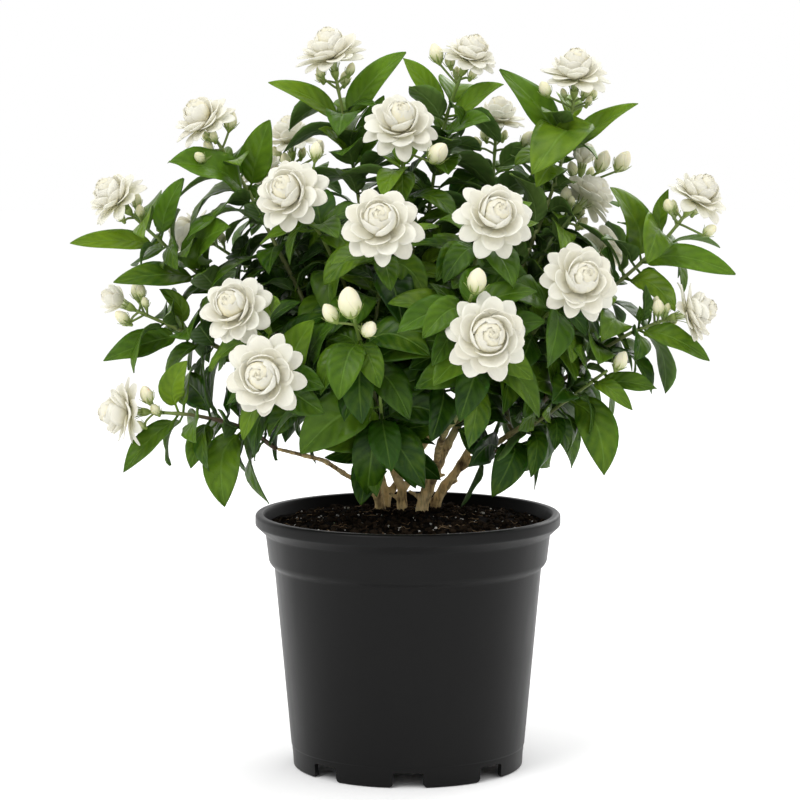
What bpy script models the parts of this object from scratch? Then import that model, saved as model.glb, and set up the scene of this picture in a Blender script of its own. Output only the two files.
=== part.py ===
"""A double-flowered jasmine bush in a black nursery pot.

Lengths in the code are in millimetres and become metres when a mesh is made.
The origin is on the ground at the pot's axis, +Z is up and the front is at -Y.
A place in the bush is given as (across, up, forward): how far across and how high it shows
from the front, over the upright plane through the pot's axis, and how far it stands
in front of that plane.
"""

import math
import random

import bmesh
import bpy
import numpy
from mathutils import Matrix, Vector
from mathutils.bvhtree import BVHTree

MM = 0.001
GAP = 0.35

# Pot, a thermoformed six-inch nursery pot
POT_SIDES = 34
POT_HEIGHT = 127.5
RIM_RADIUS = 77.0
RIM_OPENING = 72.4
RIM_DROP = 6.2
COLLAR_TOP_RADIUS = 71.9
COLLAR_BOTTOM_RADIUS = 70.3
COLLAR_TOP = 118.0
COLLAR_BOTTOM = 104.6
BODY_TOP_RADIUS = 67.5
BODY_TOP = 101.0
FOOT_RADIUS = 58.3
WALL = 1.9
FLOOR_UNDERSIDE = 8.0
FLOOR_TOP = 10.2
FOOT_NOTCH_WIDTH = 15.0
FOOT_NOTCH_PAIRS = 4
DRAIN_HOLES = 4
DRAIN_RADIUS = 6.0
DRAIN_CIRCLE = 36.0

# Potting soil
SOIL_SIDES = 22
SOIL_EDGE = 122.3
SOIL_CROWN = 127.0
SOIL_ROUGHNESS = 0.9
ROOT_DEPTH = 22.0
ROOT_HOLE_CLEARANCE = 0.55

# Where the bush is seen from, to place its parts over one another
VIEW_DISTANCE = 1500.0
VIEW_HEIGHT = 350.0
VIEW_ACROSS = -4.0

# Woody limbs: (across, up, forward, radius) from the root's end to the tip
LIMBS = {
    "a": [(-14, 106, -20, 2.7), (-14, 129, -20, 2.7), (-17, 142.5, -19, 2.5), (-23, 165, -14, 2.3),
          (-31.5, 187.5, -5, 2.0), (-42, 207, 5, 1.5)],
    "e": [(-16, 136, -19, 1.2), (-25, 143.5, -14, 1.4), (-32.5, 148, -8, 1.4), (-42, 154.5, 2, 1.3),
          (-56, 158, 10, 1.2), (-66, 160.5, 15, 1.1)],
    "h": [(-16.6, 141, -19, 1.6), (-18.5, 150, -8, 1.9), (-24, 162, 12, 1.8), (-33, 174, 34, 1.6),
          (-45, 184, 54, 1.4)],
    "b": [(-3, 106, -18, 2.6), (-3, 129, -18, 2.6), (-3, 141, -18, 2.4), (-8, 150, -20, 2.0),
          (-9, 168, -22, 1.8), (-12, 192, -20, 1.4)],
    "b2": [(-3, 138, -18, 1.7), (2.5, 147, -21, 1.9), (5, 166, -20, 1.7), (8, 190, -12, 1.4)],
    "c": [(7, 106, -13, 3.3), (7, 128, -13, 3.3), (11, 142.5, -12, 3.1), (15, 152.5, -10, 2.8),
          (19, 161, -8, 2.4), (25, 172, -3, 2.0), (34, 191, 6, 1.5)],
    "i": [(14.5, 151, -10.5, 1.7), (15, 160, 4, 1.9), (19, 170, 22, 1.8), (27, 180, 41, 1.6),
          (35, 190, 57, 1.4)],
    "d": [(14, 106, -27, 2.8), (14, 129, -27, 2.8), (18.5, 141.5, -25, 2.6), (25, 149.5, -22, 2.3),
          (29, 157, -21, 2.0), (38, 172, -15, 1.7), (50, 187, -5, 1.4)],
    "d2": [(24, 148.5, -22.5, 1.5), (32, 154.5, -18, 1.9), (45, 163.5, -8, 1.7), (59, 173, 4, 1.4)],
    "f": [(-11, 106, -38, 2.5), (-11, 128, -38, 2.5), (-14, 148, -41, 2.3), (-24, 175, -49, 1.8),
          (-36, 197, -54, 1.4)],
    "g": [(-11.4, 134, -38.5, 1.7), (-5, 144, -42, 2.0), (4, 157, -47, 1.9), (18, 177, -52, 1.7),
          (33, 197, -55, 1.4)],
}
# Short dead stubs on the limbs: limb, share of its length, direction, length
STUBS = {
    "b": [(0.30, (-0.8, 0.3, 0.6), 6.0)],
    "c": [(0.29, (-0.9, 0.2, 0.6), 6.5), (0.42, (0.9, 0.3, 0.3), 4.5)],
    "d": [(0.36, (0.9, 0.1, 0.4), 5.0), (0.24, (-0.7, 0.4, 0.7), 4.5)],
}
# One woody body for each group of limbs that grow from one root
LIMB_GROUPS = {
    "woody_stem_left": ("a", "e", "h"),
    "woody_stem_middle": ("b", "b2"),
    "woody_stem_right": ("c", "i"),
    "woody_stem_far_right": ("d", "d2"),
    "woody_stem_back": ("f", "g"),
}
LIMB_SIDES = 6
# Leaves turn their faces away from here, as (across, up, forward)
BUSH_MIDDLE = (-2.0, 205.0, -10.0)

# Flowering shoots: where the bloom shows, its width, the way it faces (across, forward, up),
# the limb that the shoot grows from and how far along that limb
BLOOMS = {
    "01": ((-39, 361.5, -18), 37, (-0.2, 0.3, 1.0), "b", 1.0),
    "02": ((32, 360, -12), 30, (0.4, 0.35, 0.9), "b2", 0.84),
    "03": ((83.5, 351.5, -25), 36, (0.05, 0.35, 1.0), "c", 1.0),
    "04": ((-103.5, 327.5, 5), 33, (-0.5, 0.4, 0.8), "a", 1.0),
    "05": ((-59, 319.5, -68), 31, (-0.1, 0.1, 1.0), "f", 1.0),
    "06": ((-3.5, 325.5, 28), 38, (0.0, 0.75, 0.7), "b2", 1.0),
    "07": ((45, 329, -70), 31, (0.1, 0.1, 1.0), "g", 1.0),
    "08": ((-148, 289, 12), 33, (-0.6, 0.4, 0.7), "a", 0.93),
    "09": ((-60.5, 290, 58), 38, (-0.35, 0.85, 0.45), "a", 0.84),
    "10": ((-14, 275, 88), 40, (-0.05, 0.9, 0.45), "h", 0.66),
    "11": ((44, 278.5, 84), 39, (0.2, 0.9, 0.4), "i", 0.76),
    "12": ((92.5, 289.5, -30), 32, (0.6, -0.3, 0.6), "d", 0.9),
    "13": ((146.5, 290, 8), 33, (0.5, 0.35, 0.8), "d", 1.0),
    "14": ((-111, 269, -35), 32, (-0.9, 0.1, 0.35), "f", 0.9),
    "15": ((-88, 232.5, 74), 37, (-0.3, 0.85, 0.45), "h", 1.0),
    "16": ((87, 246, 80), 39, (0.25, 0.9, 0.35), "d2", 0.84),
    "17": ((-73, 197.5, 94), 41, (-0.2, 1.0, 0.15), "h", 0.83),
    "18": ((40.5, 217.5, 108), 42, (0.1, 1.0, 0.2), "i", 1.0),
    "19": ((145.5, 230, 20), 34, (0.9, 0.2, 0.25), "d2", 1.0),
    "20": ((-146, 179, 34), 35, (-0.95, 0.25, 0.02), "e", 1.0),
    "21": ((102, 263.5, -60), 31, (0.6, -0.4, 0.6), "g", 0.82),
    "22": ((-73, 302.5, -40), 29, (-0.3, -0.1, 0.9), "f", 0.8),
    "23": ((-149.5, 237.5, 8), 16, (-0.8, 0.1, 0.45), "a", 0.75),
    "24": ((88, 310.5, -45), 15, (0.15, 0.1, 1.0), "g", 0.92),
}
# Leafy shoots without a bloom: where the shoot's end shows, limb, share of its length and
# width of the bud at the shoot's end
LEAFY = {
    "low_left": ((-14, 186, 58), "h", 0.36, 0.0),
    "low_right": ((100, 200, 38), "d2", 0.42, 7.0),
    "front_left": ((-27, 226, 89), "h", 0.5, 11.0),
    "front_right": ((32, 238, 92), "i", 0.6, 9.0),
    "back": ((2, 268, -112), "f", 0.62, 6.0),
}
# Leaves that show at the bush's edge: how far below the bloom they leave the shoot,
# then where the tip shows, width as a share of length, and the way the blade faces
LEAVES = {
    "01": [(22, (-69.5, 344, -12), 0.36, None), (22, (-1, 359, -20), 0.40, None),
           (42, (-44.5, 321, -5), 0.40, None), (42, (-12, 337.5, -25), 0.40, None)],
    "02": [(23, (-2.5, 356, -20), 0.42, None), (23, (47.5, 343, -5), 0.42, None),
           (36, (41, 325, 8), 0.40, None)],
    "03": [(26, (45.5, 350.5, -30), 0.40, None), (26, (114.5, 333.5, -20), 0.36, None),
           (30, (65, 299, 16), 0.75, (0.0, 1.0, 0.15))],
    "04": [(30, (-69, 325.5, 10), 0.50, None), (30, (-119.5, 304.5, 22), 0.52, None)],
    "08": [(20, (-112, 296.5, 5), 0.45, None), (20, (-169, 264, 15), 0.30, None),
           (46, (-147.5, 244.5, 20), 0.40, None), (46, (-89, 272, 25), 0.55, None)],
    "13": [(32, (101, 292, 15), 0.50, None), (32, (164, 248.5, 12), 0.32, None),
           (16, (130, 291, 6), 0.35, None), (44, (134, 230, 18), 0.45, None)],
    "19": [(15, (116, 232.5, 22), 0.45, None), (15, (151.5, 205, 24), 0.40, None)],
    "20": [(14, (-143.5, 148.5, 34), 0.38, None), (14, (-111, 205, 30), 0.60, None),
           (34, (-109.5, 150.5, 34), 0.50, None), (48, (-92.5, 131, 30), 0.55, None)],
    "23": [(26, (-124.5, 241, 6), 0.45, None), (26, (-153, 205, 14), 0.40, None)],
    "low_left": [(22, (-20.5, 137, 40), 0.55, (0.0, 1.0, 0.1)), (30, (4, 141, 30), 0.60, (0.0, 1.0, 0.2)),
                 (8, (-54, 158, 60), 0.60, (-0.2, 1.0, 0.2))],
    "low_right": [(9, (125, 191, 36), 0.45, None), (9, (113, 180, 48), 0.45, None),
                  (26, (99, 147, 42), 0.52, (0.2, 1.0, 0.2)), (40, (74, 160, 36), 0.50, None),
                  (54, (62, 146, 30), 0.45, (0.1, 1.0, 0.2)), (66, (42.5, 136, 26), 0.62, (0.0, 1.0, 0.1))],
}
# Buds, by shoot: where they show and their width
BUDS = {
    "01": [((-43.5, 349.5, -14), 4.5)],
    "02": [((14, 358.5, -14), 7)],
    "03": [((68, 341, -12), 6), ((92, 338, -38), 4.5)],
    "04": [((-88.5, 325.5, 0), 7), ((-104, 307, 15), 5)],
    "05": [((-45, 311, -60), 7)],
    "06": [((15, 309, 34), 9)],
    "07": [((60, 316, -60), 7)],
    "09": [((-46, 310, 44), 6)],
    "12": [((79, 288, -22), 6)],
    "13": [((130, 283, 16), 5), ((151, 270.5, 14), 5.5)],
    "19": [((125.5, 232, 26), 6)],
    "20": [((-131.5, 188, 38), 6.5)],
    "23": [((-143.5, 227, 14), 6), ((-136, 240, 2), 6)],
    "24": [((97, 305, -38), 8), ((107, 305, -36), 8)],
    "front_left": [((-39, 229, 90), 7), ((-19.5, 221, 95), 7)],
}

SHOOT_BASE_RADIUS = 1.3
SHOOT_TIP_RADIUS = 0.85
SHOOT_STEP = 5.0
SHOOT_SPACE = 5.5
STRAIGHTENING = 1.3
NODE_LENGTH = 3.0
NODE_SPACING = 27.0
FIRST_PAIR = 18.0
CALYX_LENGTH = 4.5
CALYX_RADIUS = 2.3
SEPAL_REACH = 4.4

LEAF_LENGTH = 39.0
LEAF_WIDTH_SHARE = 0.52
STALK_LENGTH = 4.0
BLADE_OUTLINE = ((0.26, 0.94), (0.64, 0.8))
SHOWN_OUTLINE = ((0.17, 0.72), (0.44, 1.0), (0.76, 0.64))
BLADE_THICKNESS = 1.0
BLADE_FOLD = 0.22
LEAF_CLEARANCE = 0.45
LEAF_TRIES = 14
LOWEST_LEAF = 131.0

# Bloom of a unit whose width is 40: whorls of petals from the outside in, as
# (petals, reach, notch reach, rise, notch rise, inner foot radius, inner foot rise)
OPEN_WHORLS = (
    (8, 20.0, 12.0, 5.5, 7.0, 7.0, 9.6),
    (6, 16.2, 10.4, 14.6, 13.8, 5.4, 14.4),
    (5, 11.4, 7.6, 21.2, 19.0, 3.6, 18.6),
)
OPEN_BUD = ((4.6, 21.6), (0.8, 25.0))
OPEN_TUBE = ((1.5, 0.0), (2.1, 5.0))
HALF_WHORLS = (
    (5, 17.5, 14.5, 26.0, 17.0, 9.0, 20.0),
    (6, 12.6, 11.4, 34.0, 32.2, 6.0, 31.0),
)
HALF_BUD = ((7.0, 36.0), (1.0, 41.0))
HALF_TUBE = ((3.6, 0.0), (8.5, 6.0))
PETAL_UNEVENNESS = 0.07
HEAD_CENTRE = 13.0


def place(across, up, forward):
    """The point that shows at (across, up) from the front and stands forward of the pot's axis."""
    share = forward / VIEW_DISTANCE
    return Vector((across + (VIEW_ACROSS - across) * share, -forward, up + (VIEW_HEIGHT - up) * share))


def facing(across, forward, up):
    return Vector((across, -forward, up)).normalized()


def remove_everything():
    for item in list(bpy.data.objects):
        bpy.data.objects.remove(item, do_unlink=True)


def material(name, colour, roughness, metallic=0.0):
    made = bpy.data.materials.new(name)
    made.use_nodes = True
    shader = made.node_tree.nodes["Principled BSDF"]
    shader.inputs["Base Color"].default_value = (*colour, 1.0)
    shader.inputs["Roughness"].default_value = roughness
    shader.inputs["Metallic"].default_value = metallic
    return made


def make_object(name, bm, look=None, smooth_angle=None):
    """Turns a mesh drawn in millimetres into a named object in metres."""
    bmesh.ops.scale(bm, vec=(MM, MM, MM), verts=bm.verts)
    bmesh.ops.recalc_face_normals(bm, faces=bm.faces)
    mesh = bpy.data.meshes.new(name)
    bm.to_mesh(mesh)
    bm.free()
    if smooth_angle is not None:
        mesh.shade_smooth()
        mesh.set_sharp_from_angle(angle=math.radians(smooth_angle))
    item = bpy.data.objects.new(name, mesh)
    bpy.context.collection.objects.link(item)
    if look is not None:
        mesh.materials.append(look)
    return item


def combine(body, others, operation):
    """Joins the other objects to the body, or cuts them out of it, and removes them."""
    group = bpy.data.collections.new("others")
    for item in others:
        group.objects.link(item)
    step = body.modifiers.new(operation.lower(), "BOOLEAN")
    step.operation = operation
    step.operand_type = "COLLECTION"
    step.collection = group
    step.solver = "EXACT"
    graph = bpy.context.evaluated_depsgraph_get()
    mesh = bpy.data.meshes.new_from_object(body.evaluated_get(graph))
    body.modifiers.clear()
    body.data = mesh
    for item in others:
        bpy.data.objects.remove(item, do_unlink=True)
    bpy.data.collections.remove(group)
    return body


# Pot

def inner_profile():
    """Inside of the pot, from the floor's middle to the rim, as (radius, height)."""
    return [
        (0.0, FLOOR_TOP),
        (FOOT_RADIUS - WALL - 1.0, FLOOR_TOP),
        (BODY_TOP_RADIUS - WALL, BODY_TOP - 0.5),
        (COLLAR_BOTTOM_RADIUS - WALL, COLLAR_BOTTOM - 0.5),
        (COLLAR_TOP_RADIUS - WALL, COLLAR_TOP + 1.0),
        (RIM_OPENING, POT_HEIGHT - 1.2),
        (RIM_OPENING + 0.9, POT_HEIGHT),
    ]


def outer_profile():
    """Outside of the pot, from the rim down to the foot and in under the floor."""
    body_slope = (BODY_TOP_RADIUS - FOOT_RADIUS) / BODY_TOP
    seat = FOOT_RADIUS + body_slope * FLOOR_UNDERSIDE
    return [
        (RIM_RADIUS - 1.0, POT_HEIGHT),
        (RIM_RADIUS, POT_HEIGHT - 1.0),
        (RIM_RADIUS, POT_HEIGHT - RIM_DROP + 0.7),
        (RIM_RADIUS - 0.7, POT_HEIGHT - RIM_DROP),
        (COLLAR_TOP_RADIUS, COLLAR_TOP),
        (COLLAR_BOTTOM_RADIUS, COLLAR_BOTTOM),
        (COLLAR_BOTTOM_RADIUS - 0.8, COLLAR_BOTTOM - 1.6),
        (BODY_TOP_RADIUS, BODY_TOP),
        (seat, FLOOR_UNDERSIDE + 0.4),
        (FOOT_RADIUS, 0.0),
        (FOOT_RADIUS - WALL - 0.6, 0.0),
        (seat - WALL - 0.6, FLOOR_UNDERSIDE),
        (0.0, FLOOR_UNDERSIDE),
    ]


def turned(profile, sides):
    """A closed body turned round the Z axis from a profile that starts and ends on it."""
    bm = bmesh.new()
    verts = [bm.verts.new((radius, 0.0, height)) for radius, height in profile]
    edges = [bm.edges.new(pair) for pair in zip(verts, verts[1:])]
    bmesh.ops.spin(bm, geom=verts + edges, cent=(0, 0, 0), axis=(0, 0, 1), angle=math.tau, steps=sides,
                   use_merge=True)
    bmesh.ops.remove_doubles(bm, verts=bm.verts, dist=0.001)
    return bm


def block(size, centre, turn):
    """A box round the centre, then turned about the Z axis."""
    bm = bmesh.new()
    bmesh.ops.create_cube(bm, size=1.0)
    bmesh.ops.scale(bm, vec=size, verts=bm.verts)
    bmesh.ops.translate(bm, vec=centre, verts=bm.verts)
    bmesh.ops.rotate(bm, cent=(0, 0, 0), matrix=Matrix.Rotation(turn, 3, "Z"), verts=bm.verts)
    return bm


def prism(centre, radius, bottom, top, sides):
    """An upright prism with a regular section."""
    bm = bmesh.new()
    bmesh.ops.create_cone(bm, cap_ends=True, segments=sides, radius1=radius, radius2=radius,
                          depth=top - bottom)
    bmesh.ops.translate(bm, vec=(centre[0], centre[1], (top + bottom) / 2), verts=bm.verts)
    return bm


def make_pot(look):
    pot = make_object("nursery_pot", turned(inner_profile() + outer_profile(), POT_SIDES), look)
    cutters = []
    slot_size = (2.4 * FOOT_RADIUS, FOOT_NOTCH_WIDTH, FLOOR_UNDERSIDE)
    for number in range(FOOT_NOTCH_PAIRS):
        turn = math.pi * number / FOOT_NOTCH_PAIRS
        slot = block(slot_size, (0, 0, FLOOR_UNDERSIDE / 2 - 0.6), turn)
        cutters.append(make_object("notch", slot))
    for number in range(DRAIN_HOLES):
        angle = math.tau * (number + 0.5) / DRAIN_HOLES
        centre = (DRAIN_CIRCLE * math.cos(angle), DRAIN_CIRCLE * math.sin(angle))
        cutters.append(make_object("drain", prism(centre, DRAIN_RADIUS, 5.0, 13.0, 10)))
    combine(pot, cutters, "DIFFERENCE")
    pot.data.shade_smooth()
    pot.data.set_sharp_from_angle(angle=math.radians(28))
    return pot


# Soil

def soil_height(x, y):
    """Height of the uneven soil, heaped a little at the root ball."""
    distance = math.hypot(x, y + 6.0) / 68.0
    heap = SOIL_EDGE + (SOIL_CROWN - SOIL_EDGE) * max(0.0, 1.0 - distance * distance)
    bumps = math.sin(0.21 * x + 1.3) * math.cos(0.19 * y + 0.4) + 0.6 * math.sin(0.43 * x - 0.37 * y)
    return heap + SOIL_ROUGHNESS * 0.5 * bumps


def make_soil(look):
    bm = bmesh.new()
    walls = [(radius - 0.45, height) for radius, height in inner_profile()[1:5]]
    walls[0] = (walls[0][0], FLOOR_TOP + GAP)
    rings = [(radius, None) for radius in (14.0, 33.0, 52.0)]
    slope = (RIM_OPENING - COLLAR_TOP_RADIUS + WALL) / (POT_HEIGHT - 1.2 - COLLAR_TOP - 1.0)
    brim = walls[-1][0] + slope * (SOIL_EDGE - 1.6 - walls[-1][1])
    rings.append((brim, None))
    made = []
    for radius, height in rings + walls[::-1]:
        ring = []
        for number in range(SOIL_SIDES):
            angle = math.tau * number / SOIL_SIDES
            x = radius * math.cos(angle)
            y = radius * math.sin(angle)
            ring.append(bm.verts.new((x, y, soil_height(x, y) if height is None else height)))
        made.append(ring)
    top = bm.verts.new((0, 0, soil_height(0, 0)))
    for number in range(SOIL_SIDES):
        following = (number + 1) % SOIL_SIDES
        bm.faces.new((top, made[0][number], made[0][following]))
        for ring, wider in zip(made, made[1:]):
            bm.faces.new((ring[number], wider[number], wider[following]))
            bm.faces.new((ring[number], wider[following], ring[following]))
    bm.faces.new(made[-1])
    soil = make_object("potting_soil", bm, look)
    holes = []
    for limbs in LIMB_GROUPS.values():
        foot = limb_points(limbs[0])[0]
        radius = LIMBS[limbs[0]][0][3] + ROOT_HOLE_CLEARANCE
        hole = prism((foot.x, foot.y), radius, foot.z - GAP, POT_HEIGHT + 9.0, LIMB_SIDES)
        holes.append(make_object("hole", hole))
    return combine(soil, holes, "DIFFERENCE")


# Limbs

def limb_points(key):
    """The limb's middle line; its root part stands upright in the soil."""
    points = [place(*entry[:3]) for entry in LIMBS[key]]
    if LIMBS[key][0][1] < SOIL_EDGE:
        points[0].x = points[1].x
        points[0].y = points[1].y
        points[0].z = SOIL_CROWN - ROOT_DEPTH
        points[1].z = SOIL_CROWN + 2.5
    return points


def directions(points):
    """Unit tangent at each point of a line."""
    tangents = []
    for number in range(len(points)):
        before = points[max(number - 1, 0)]
        after = points[min(number + 1, len(points) - 1)]
        tangents.append((after - before).normalized())
    return tangents


def carried_frames(points, start_side):
    """Tangent and a sideways vector at each point, carried along the line without twisting."""
    tangents = directions(points)
    side = start_side
    frames = []
    for tangent in tangents:
        side = (side - tangent * side.dot(tangent)).normalized()
        frames.append((tangent, side))
    return frames


def corner_ring(centre, tangent, side, radius, corners, turn=0.0):
    """Corners of a regular section about the centre, square to the tangent."""
    across = tangent.cross(side)
    ring = []
    for number in range(corners):
        angle = turn + math.tau * number / corners
        ring.append(centre + (side * math.cos(angle) + across * math.sin(angle)) * radius)
    return ring


def tube(points, radii, corners):
    """A closed tube with flat ends along the points."""
    bm = bmesh.new()
    frames = carried_frames(points, Vector((1.0, 0.0, 0.0)))
    rings = []
    for point, radius, (tangent, side) in zip(points, radii, frames):
        rings.append([bm.verts.new(corner) for corner in corner_ring(point, tangent, side, radius, corners)])
    for ring, following in zip(rings, rings[1:]):
        for number in range(corners):
            beside = (number + 1) % corners
            bm.faces.new((ring[number], ring[beside], following[beside]))
            bm.faces.new((ring[number], following[beside], following[number]))
    bm.faces.new(rings[0][::-1])
    bm.faces.new(rings[-1])
    return bm


def limb_at(key, share):
    """Point, tangent and radius at a share of the limb's length."""
    points = limb_points(key)
    lengths = [(after - before).length for before, after in zip(points, points[1:])]
    wanted = share * sum(lengths)
    for number, length in enumerate(lengths):
        if wanted <= length or number == len(lengths) - 1:
            part = min(wanted / length, 1.0)
            point = points[number].lerp(points[number + 1], part)
            tangent = (points[number + 1] - points[number]).normalized()
            radius = LIMBS[key][number][3] * (1 - part) + LIMBS[key][number + 1][3] * part
            return point, tangent, radius
        wanted -= length


def limb_tubes(key):
    """A limb and its dead stubs, as tubes that run into each other."""
    radii = [entry[3] for entry in LIMBS[key]]
    tubes = [tube(limb_points(key), radii, LIMB_SIDES)]
    for share, way, length in STUBS.get(key, ()):
        point, _tangent, radius = limb_at(key, share)
        toward = facing(*way)
        ends = [point, point + toward * (radius + length * 0.4), point + toward * (radius + length)]
        tubes.append(tube(ends, (1.2, 1.1, 0.8), 5))
    return tubes


def make_limbs(look):
    for name, keys in LIMB_GROUPS.items():
        pieces = [make_object(name, bm) for key in keys for bm in limb_tubes(key)]
        body = pieces[0]
        if len(pieces) > 1:
            combine(body, pieces[1:], "UNION")
        body.name = name
        body.data.materials.clear()
        body.data.materials.append(look)
        body.data.shade_smooth()
        body.data.set_sharp_from_angle(angle=math.radians(50))


# Clearance between parts

class Surroundings:
    """Everything placed so far, to test whether a new part would touch it."""

    def __init__(self):
        self.items = []

    def add(self, owner, points, faces):
        low = [min(point[axis] for point in points) for axis in range(3)]
        high = [max(point[axis] for point in points) for axis in range(3)]
        self.items.append((owner, BVHTree.FromPolygons(points, faces), low, high))

    def touches(self, points, faces, skip=None):
        low = [min(point[axis] for point in points) for axis in range(3)]
        high = [max(point[axis] for point in points) for axis in range(3)]
        tree = None
        for owner, other, other_low, other_high in self.items:
            if owner == skip:
                continue
            if any(low[axis] > other_high[axis] or high[axis] < other_low[axis] for axis in range(3)):
                continue
            if tree is None:
                tree = BVHTree.FromPolygons(points, faces)
            if tree.overlap(other):
                return True
        return False


def crosses_itself(points, faces):
    tree = BVHTree.FromPolygons(points, faces)
    return any(not set(faces[one]) & set(faces[other]) for one, other in tree.overlap(tree))


def mesh_lists(bm):
    """Points and faces of a mesh that is needed for nothing else."""
    bm.verts.index_update()
    points = [vert.co.copy() for vert in bm.verts]
    faces = [[vert.index for vert in face.verts] for face in bm.faces]
    bm.free()
    return points, faces


# Blooms

def petal_ring(petals, reach, notch_reach, rise, notch_rise, turn, chance):
    """Edge of one whorl: a notch, a shoulder, a tip and a shoulder for each petal."""
    ring = []
    for number in range(petals):
        start = turn + math.tau * number / petals
        step = math.tau / petals
        longer = 1.0 + chance.uniform(-1.0, 1.0) * PETAL_UNEVENNESS
        lift = reach * chance.uniform(-1.2, 1.2) * PETAL_UNEVENNESS
        shoulder = (reach * longer * 0.95, rise + lift + reach * 0.045)
        ring.append((start, notch_reach, notch_rise))
        ring.append((start + 0.26 * step, *shoulder))
        ring.append((start + 0.5 * step, reach * longer, rise + lift))
        ring.append((start + 0.74 * step, *shoulder))
    return ring


def plain_ring(count, radius, height, turn):
    return [(turn + math.tau * number / count, radius, height) for number in range(count)]


def bloom_rings(half_open, chance):
    """Rings of (angle, radius, height) from the tube's foot to the bud in the middle."""
    whorls = HALF_WHORLS if half_open else OPEN_WHORLS
    tube_rings = HALF_TUBE if half_open else OPEN_TUBE
    bud = HALF_BUD if half_open else OPEN_BUD
    rings = [plain_ring(6, tube_rings[0][0], tube_rings[0][1], 0.0)]
    turn = chance.uniform(0.0, 1.0)
    rings.append(plain_ring(whorls[0][0], tube_rings[1][0], tube_rings[1][1], turn))
    for petals, reach, notch_reach, rise, notch_rise, foot_radius, foot_rise in whorls:
        rings.append(petal_ring(petals, reach, notch_reach, rise, notch_rise, turn, chance))
        rings.append(plain_ring(petals, foot_radius, foot_rise, turn))
        turn += math.pi / petals + chance.uniform(-0.1, 0.1)
    rings.append(plain_ring(whorls[-1][0], bud[0][0], bud[0][1], turn))
    return rings, bud[1]


def stitch(bm, ring, following):
    """Fills the band between two rings of (angle, vertex), going round by angle."""
    ring = sorted(ring, key=lambda entry: entry[0])
    following = sorted(following, key=lambda entry: entry[0])
    count, other_count = len(ring), len(following)
    first = 0
    second = min(range(other_count), key=lambda number: abs(following[number][0] - ring[0][0]))
    done, other_done = 0, 0
    while done < count or other_done < other_count:
        here = ring[(first + done) % count]
        there = following[(second + other_done) % other_count]
        next_here = ring[(first + done + 1) % count]
        next_there = following[(second + other_done + 1) % other_count]
        angle = next_here[0] + (math.tau if first + done + 1 >= count else 0.0)
        other_angle = next_there[0] + (math.tau if second + other_done + 1 >= other_count else 0.0)
        if other_done >= other_count or (done < count and angle <= other_angle):
            bm.faces.new((here[1], next_here[1], there[1]))
            done += 1
        else:
            bm.faces.new((here[1], next_there[1], there[1]))
            other_done += 1


def bloom_mesh(key):
    """One double bloom on its tube: layered whorls of petals round a closed bud."""
    (across, up, forward), width, way, _limb, _share = BLOOMS[key]
    half_open = width < 20
    chance = random.Random("bloom" + key)
    rings, tip = bloom_rings(half_open, chance)
    scale = width / 40.0
    axis = facing(*way)
    seat = bloom_seat(key)
    side = axis.orthogonal().normalized()
    other_side = axis.cross(side)
    bm = bmesh.new()
    made = []
    for ring in rings:
        verts = []
        for angle, radius, height in ring:
            flat = side * math.cos(angle) + other_side * math.sin(angle)
            verts.append((angle % math.tau, bm.verts.new(seat + (flat * radius + axis * height) * scale)))
        made.append(verts)
    bm.faces.new([vert for _angle, vert in made[0]])
    for ring, following in zip(made, made[1:]):
        stitch(bm, ring, following)
    top = bm.verts.new(seat + (side * tip[0] + axis * tip[1]) * scale)
    last = sorted(made[-1], key=lambda entry: entry[0])
    for number in range(len(last)):
        bm.faces.new((last[number][1], last[(number + 1) % len(last)][1], top))
    return bm


def bloom_seat(key):
    """Where the bloom's tube stands on its calyx."""
    (across, up, forward), width, way, _limb, _share = BLOOMS[key]
    centre_height = HEAD_CENTRE if width >= 20 else 24.0
    return place(across, up, forward) - facing(*way) * (centre_height * width / 40.0)


# Routes of the shoots

def shoot_start(limb, share, toward):
    """Start point and direction of a shoot, just off the limb that it grows from."""
    point, tangent, radius = limb_at(limb, share)
    if share >= 1.0:
        return point + tangent * GAP, tangent
    outward = toward - point
    outward = (outward - tangent * outward.dot(tangent)).normalized()
    return point + outward * (radius + GAP), outward


def curve_points(start, start_way, end, end_way, pull):
    """Evenly spaced points on a smooth curve from the start to the end."""
    length = (end - start).length
    controls = (start, start + start_way * length * pull, end - end_way * length * 0.34, end)
    count = max(6, round(1.08 * length / SHOOT_STEP))
    points = []
    for number in range(count + 1):
        t = number / count
        weights = ((1 - t) ** 3, 3 * t * (1 - t) ** 2, 3 * t * t * (1 - t), t ** 3)
        points.append(sum((control * weight for control, weight in zip(controls, weights)), Vector()))
    return points


def draw_routes():
    """First routes of all the shoots, from their limbs to their blooms."""
    routes = {}
    for key, (_spot, _width, way, limb, share) in BLOOMS.items():
        axis = facing(*way)
        end = bloom_seat(key) - axis * (GAP + CALYX_LENGTH)
        start, start_way = shoot_start(limb, share, end)
        rising = (start_way + Vector((0.0, 0.0, 0.7))).normalized()
        points = curve_points(start, rising, end, axis, 0.3)
        points[1] = start + (start_way * 0.7 + rising * 0.3).normalized() * 2.5
        points[-2] = end - axis * SHOOT_STEP * 0.8
        routes[key] = points
    for key, (spot, limb, share, _bud) in LEAFY.items():
        end = place(*spot)
        start, start_way = shoot_start(limb, share, end)
        way = (end - start).normalized()
        points = curve_points(start, start_way, end, way, 0.25)
        routes[key] = points
    return routes


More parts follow.
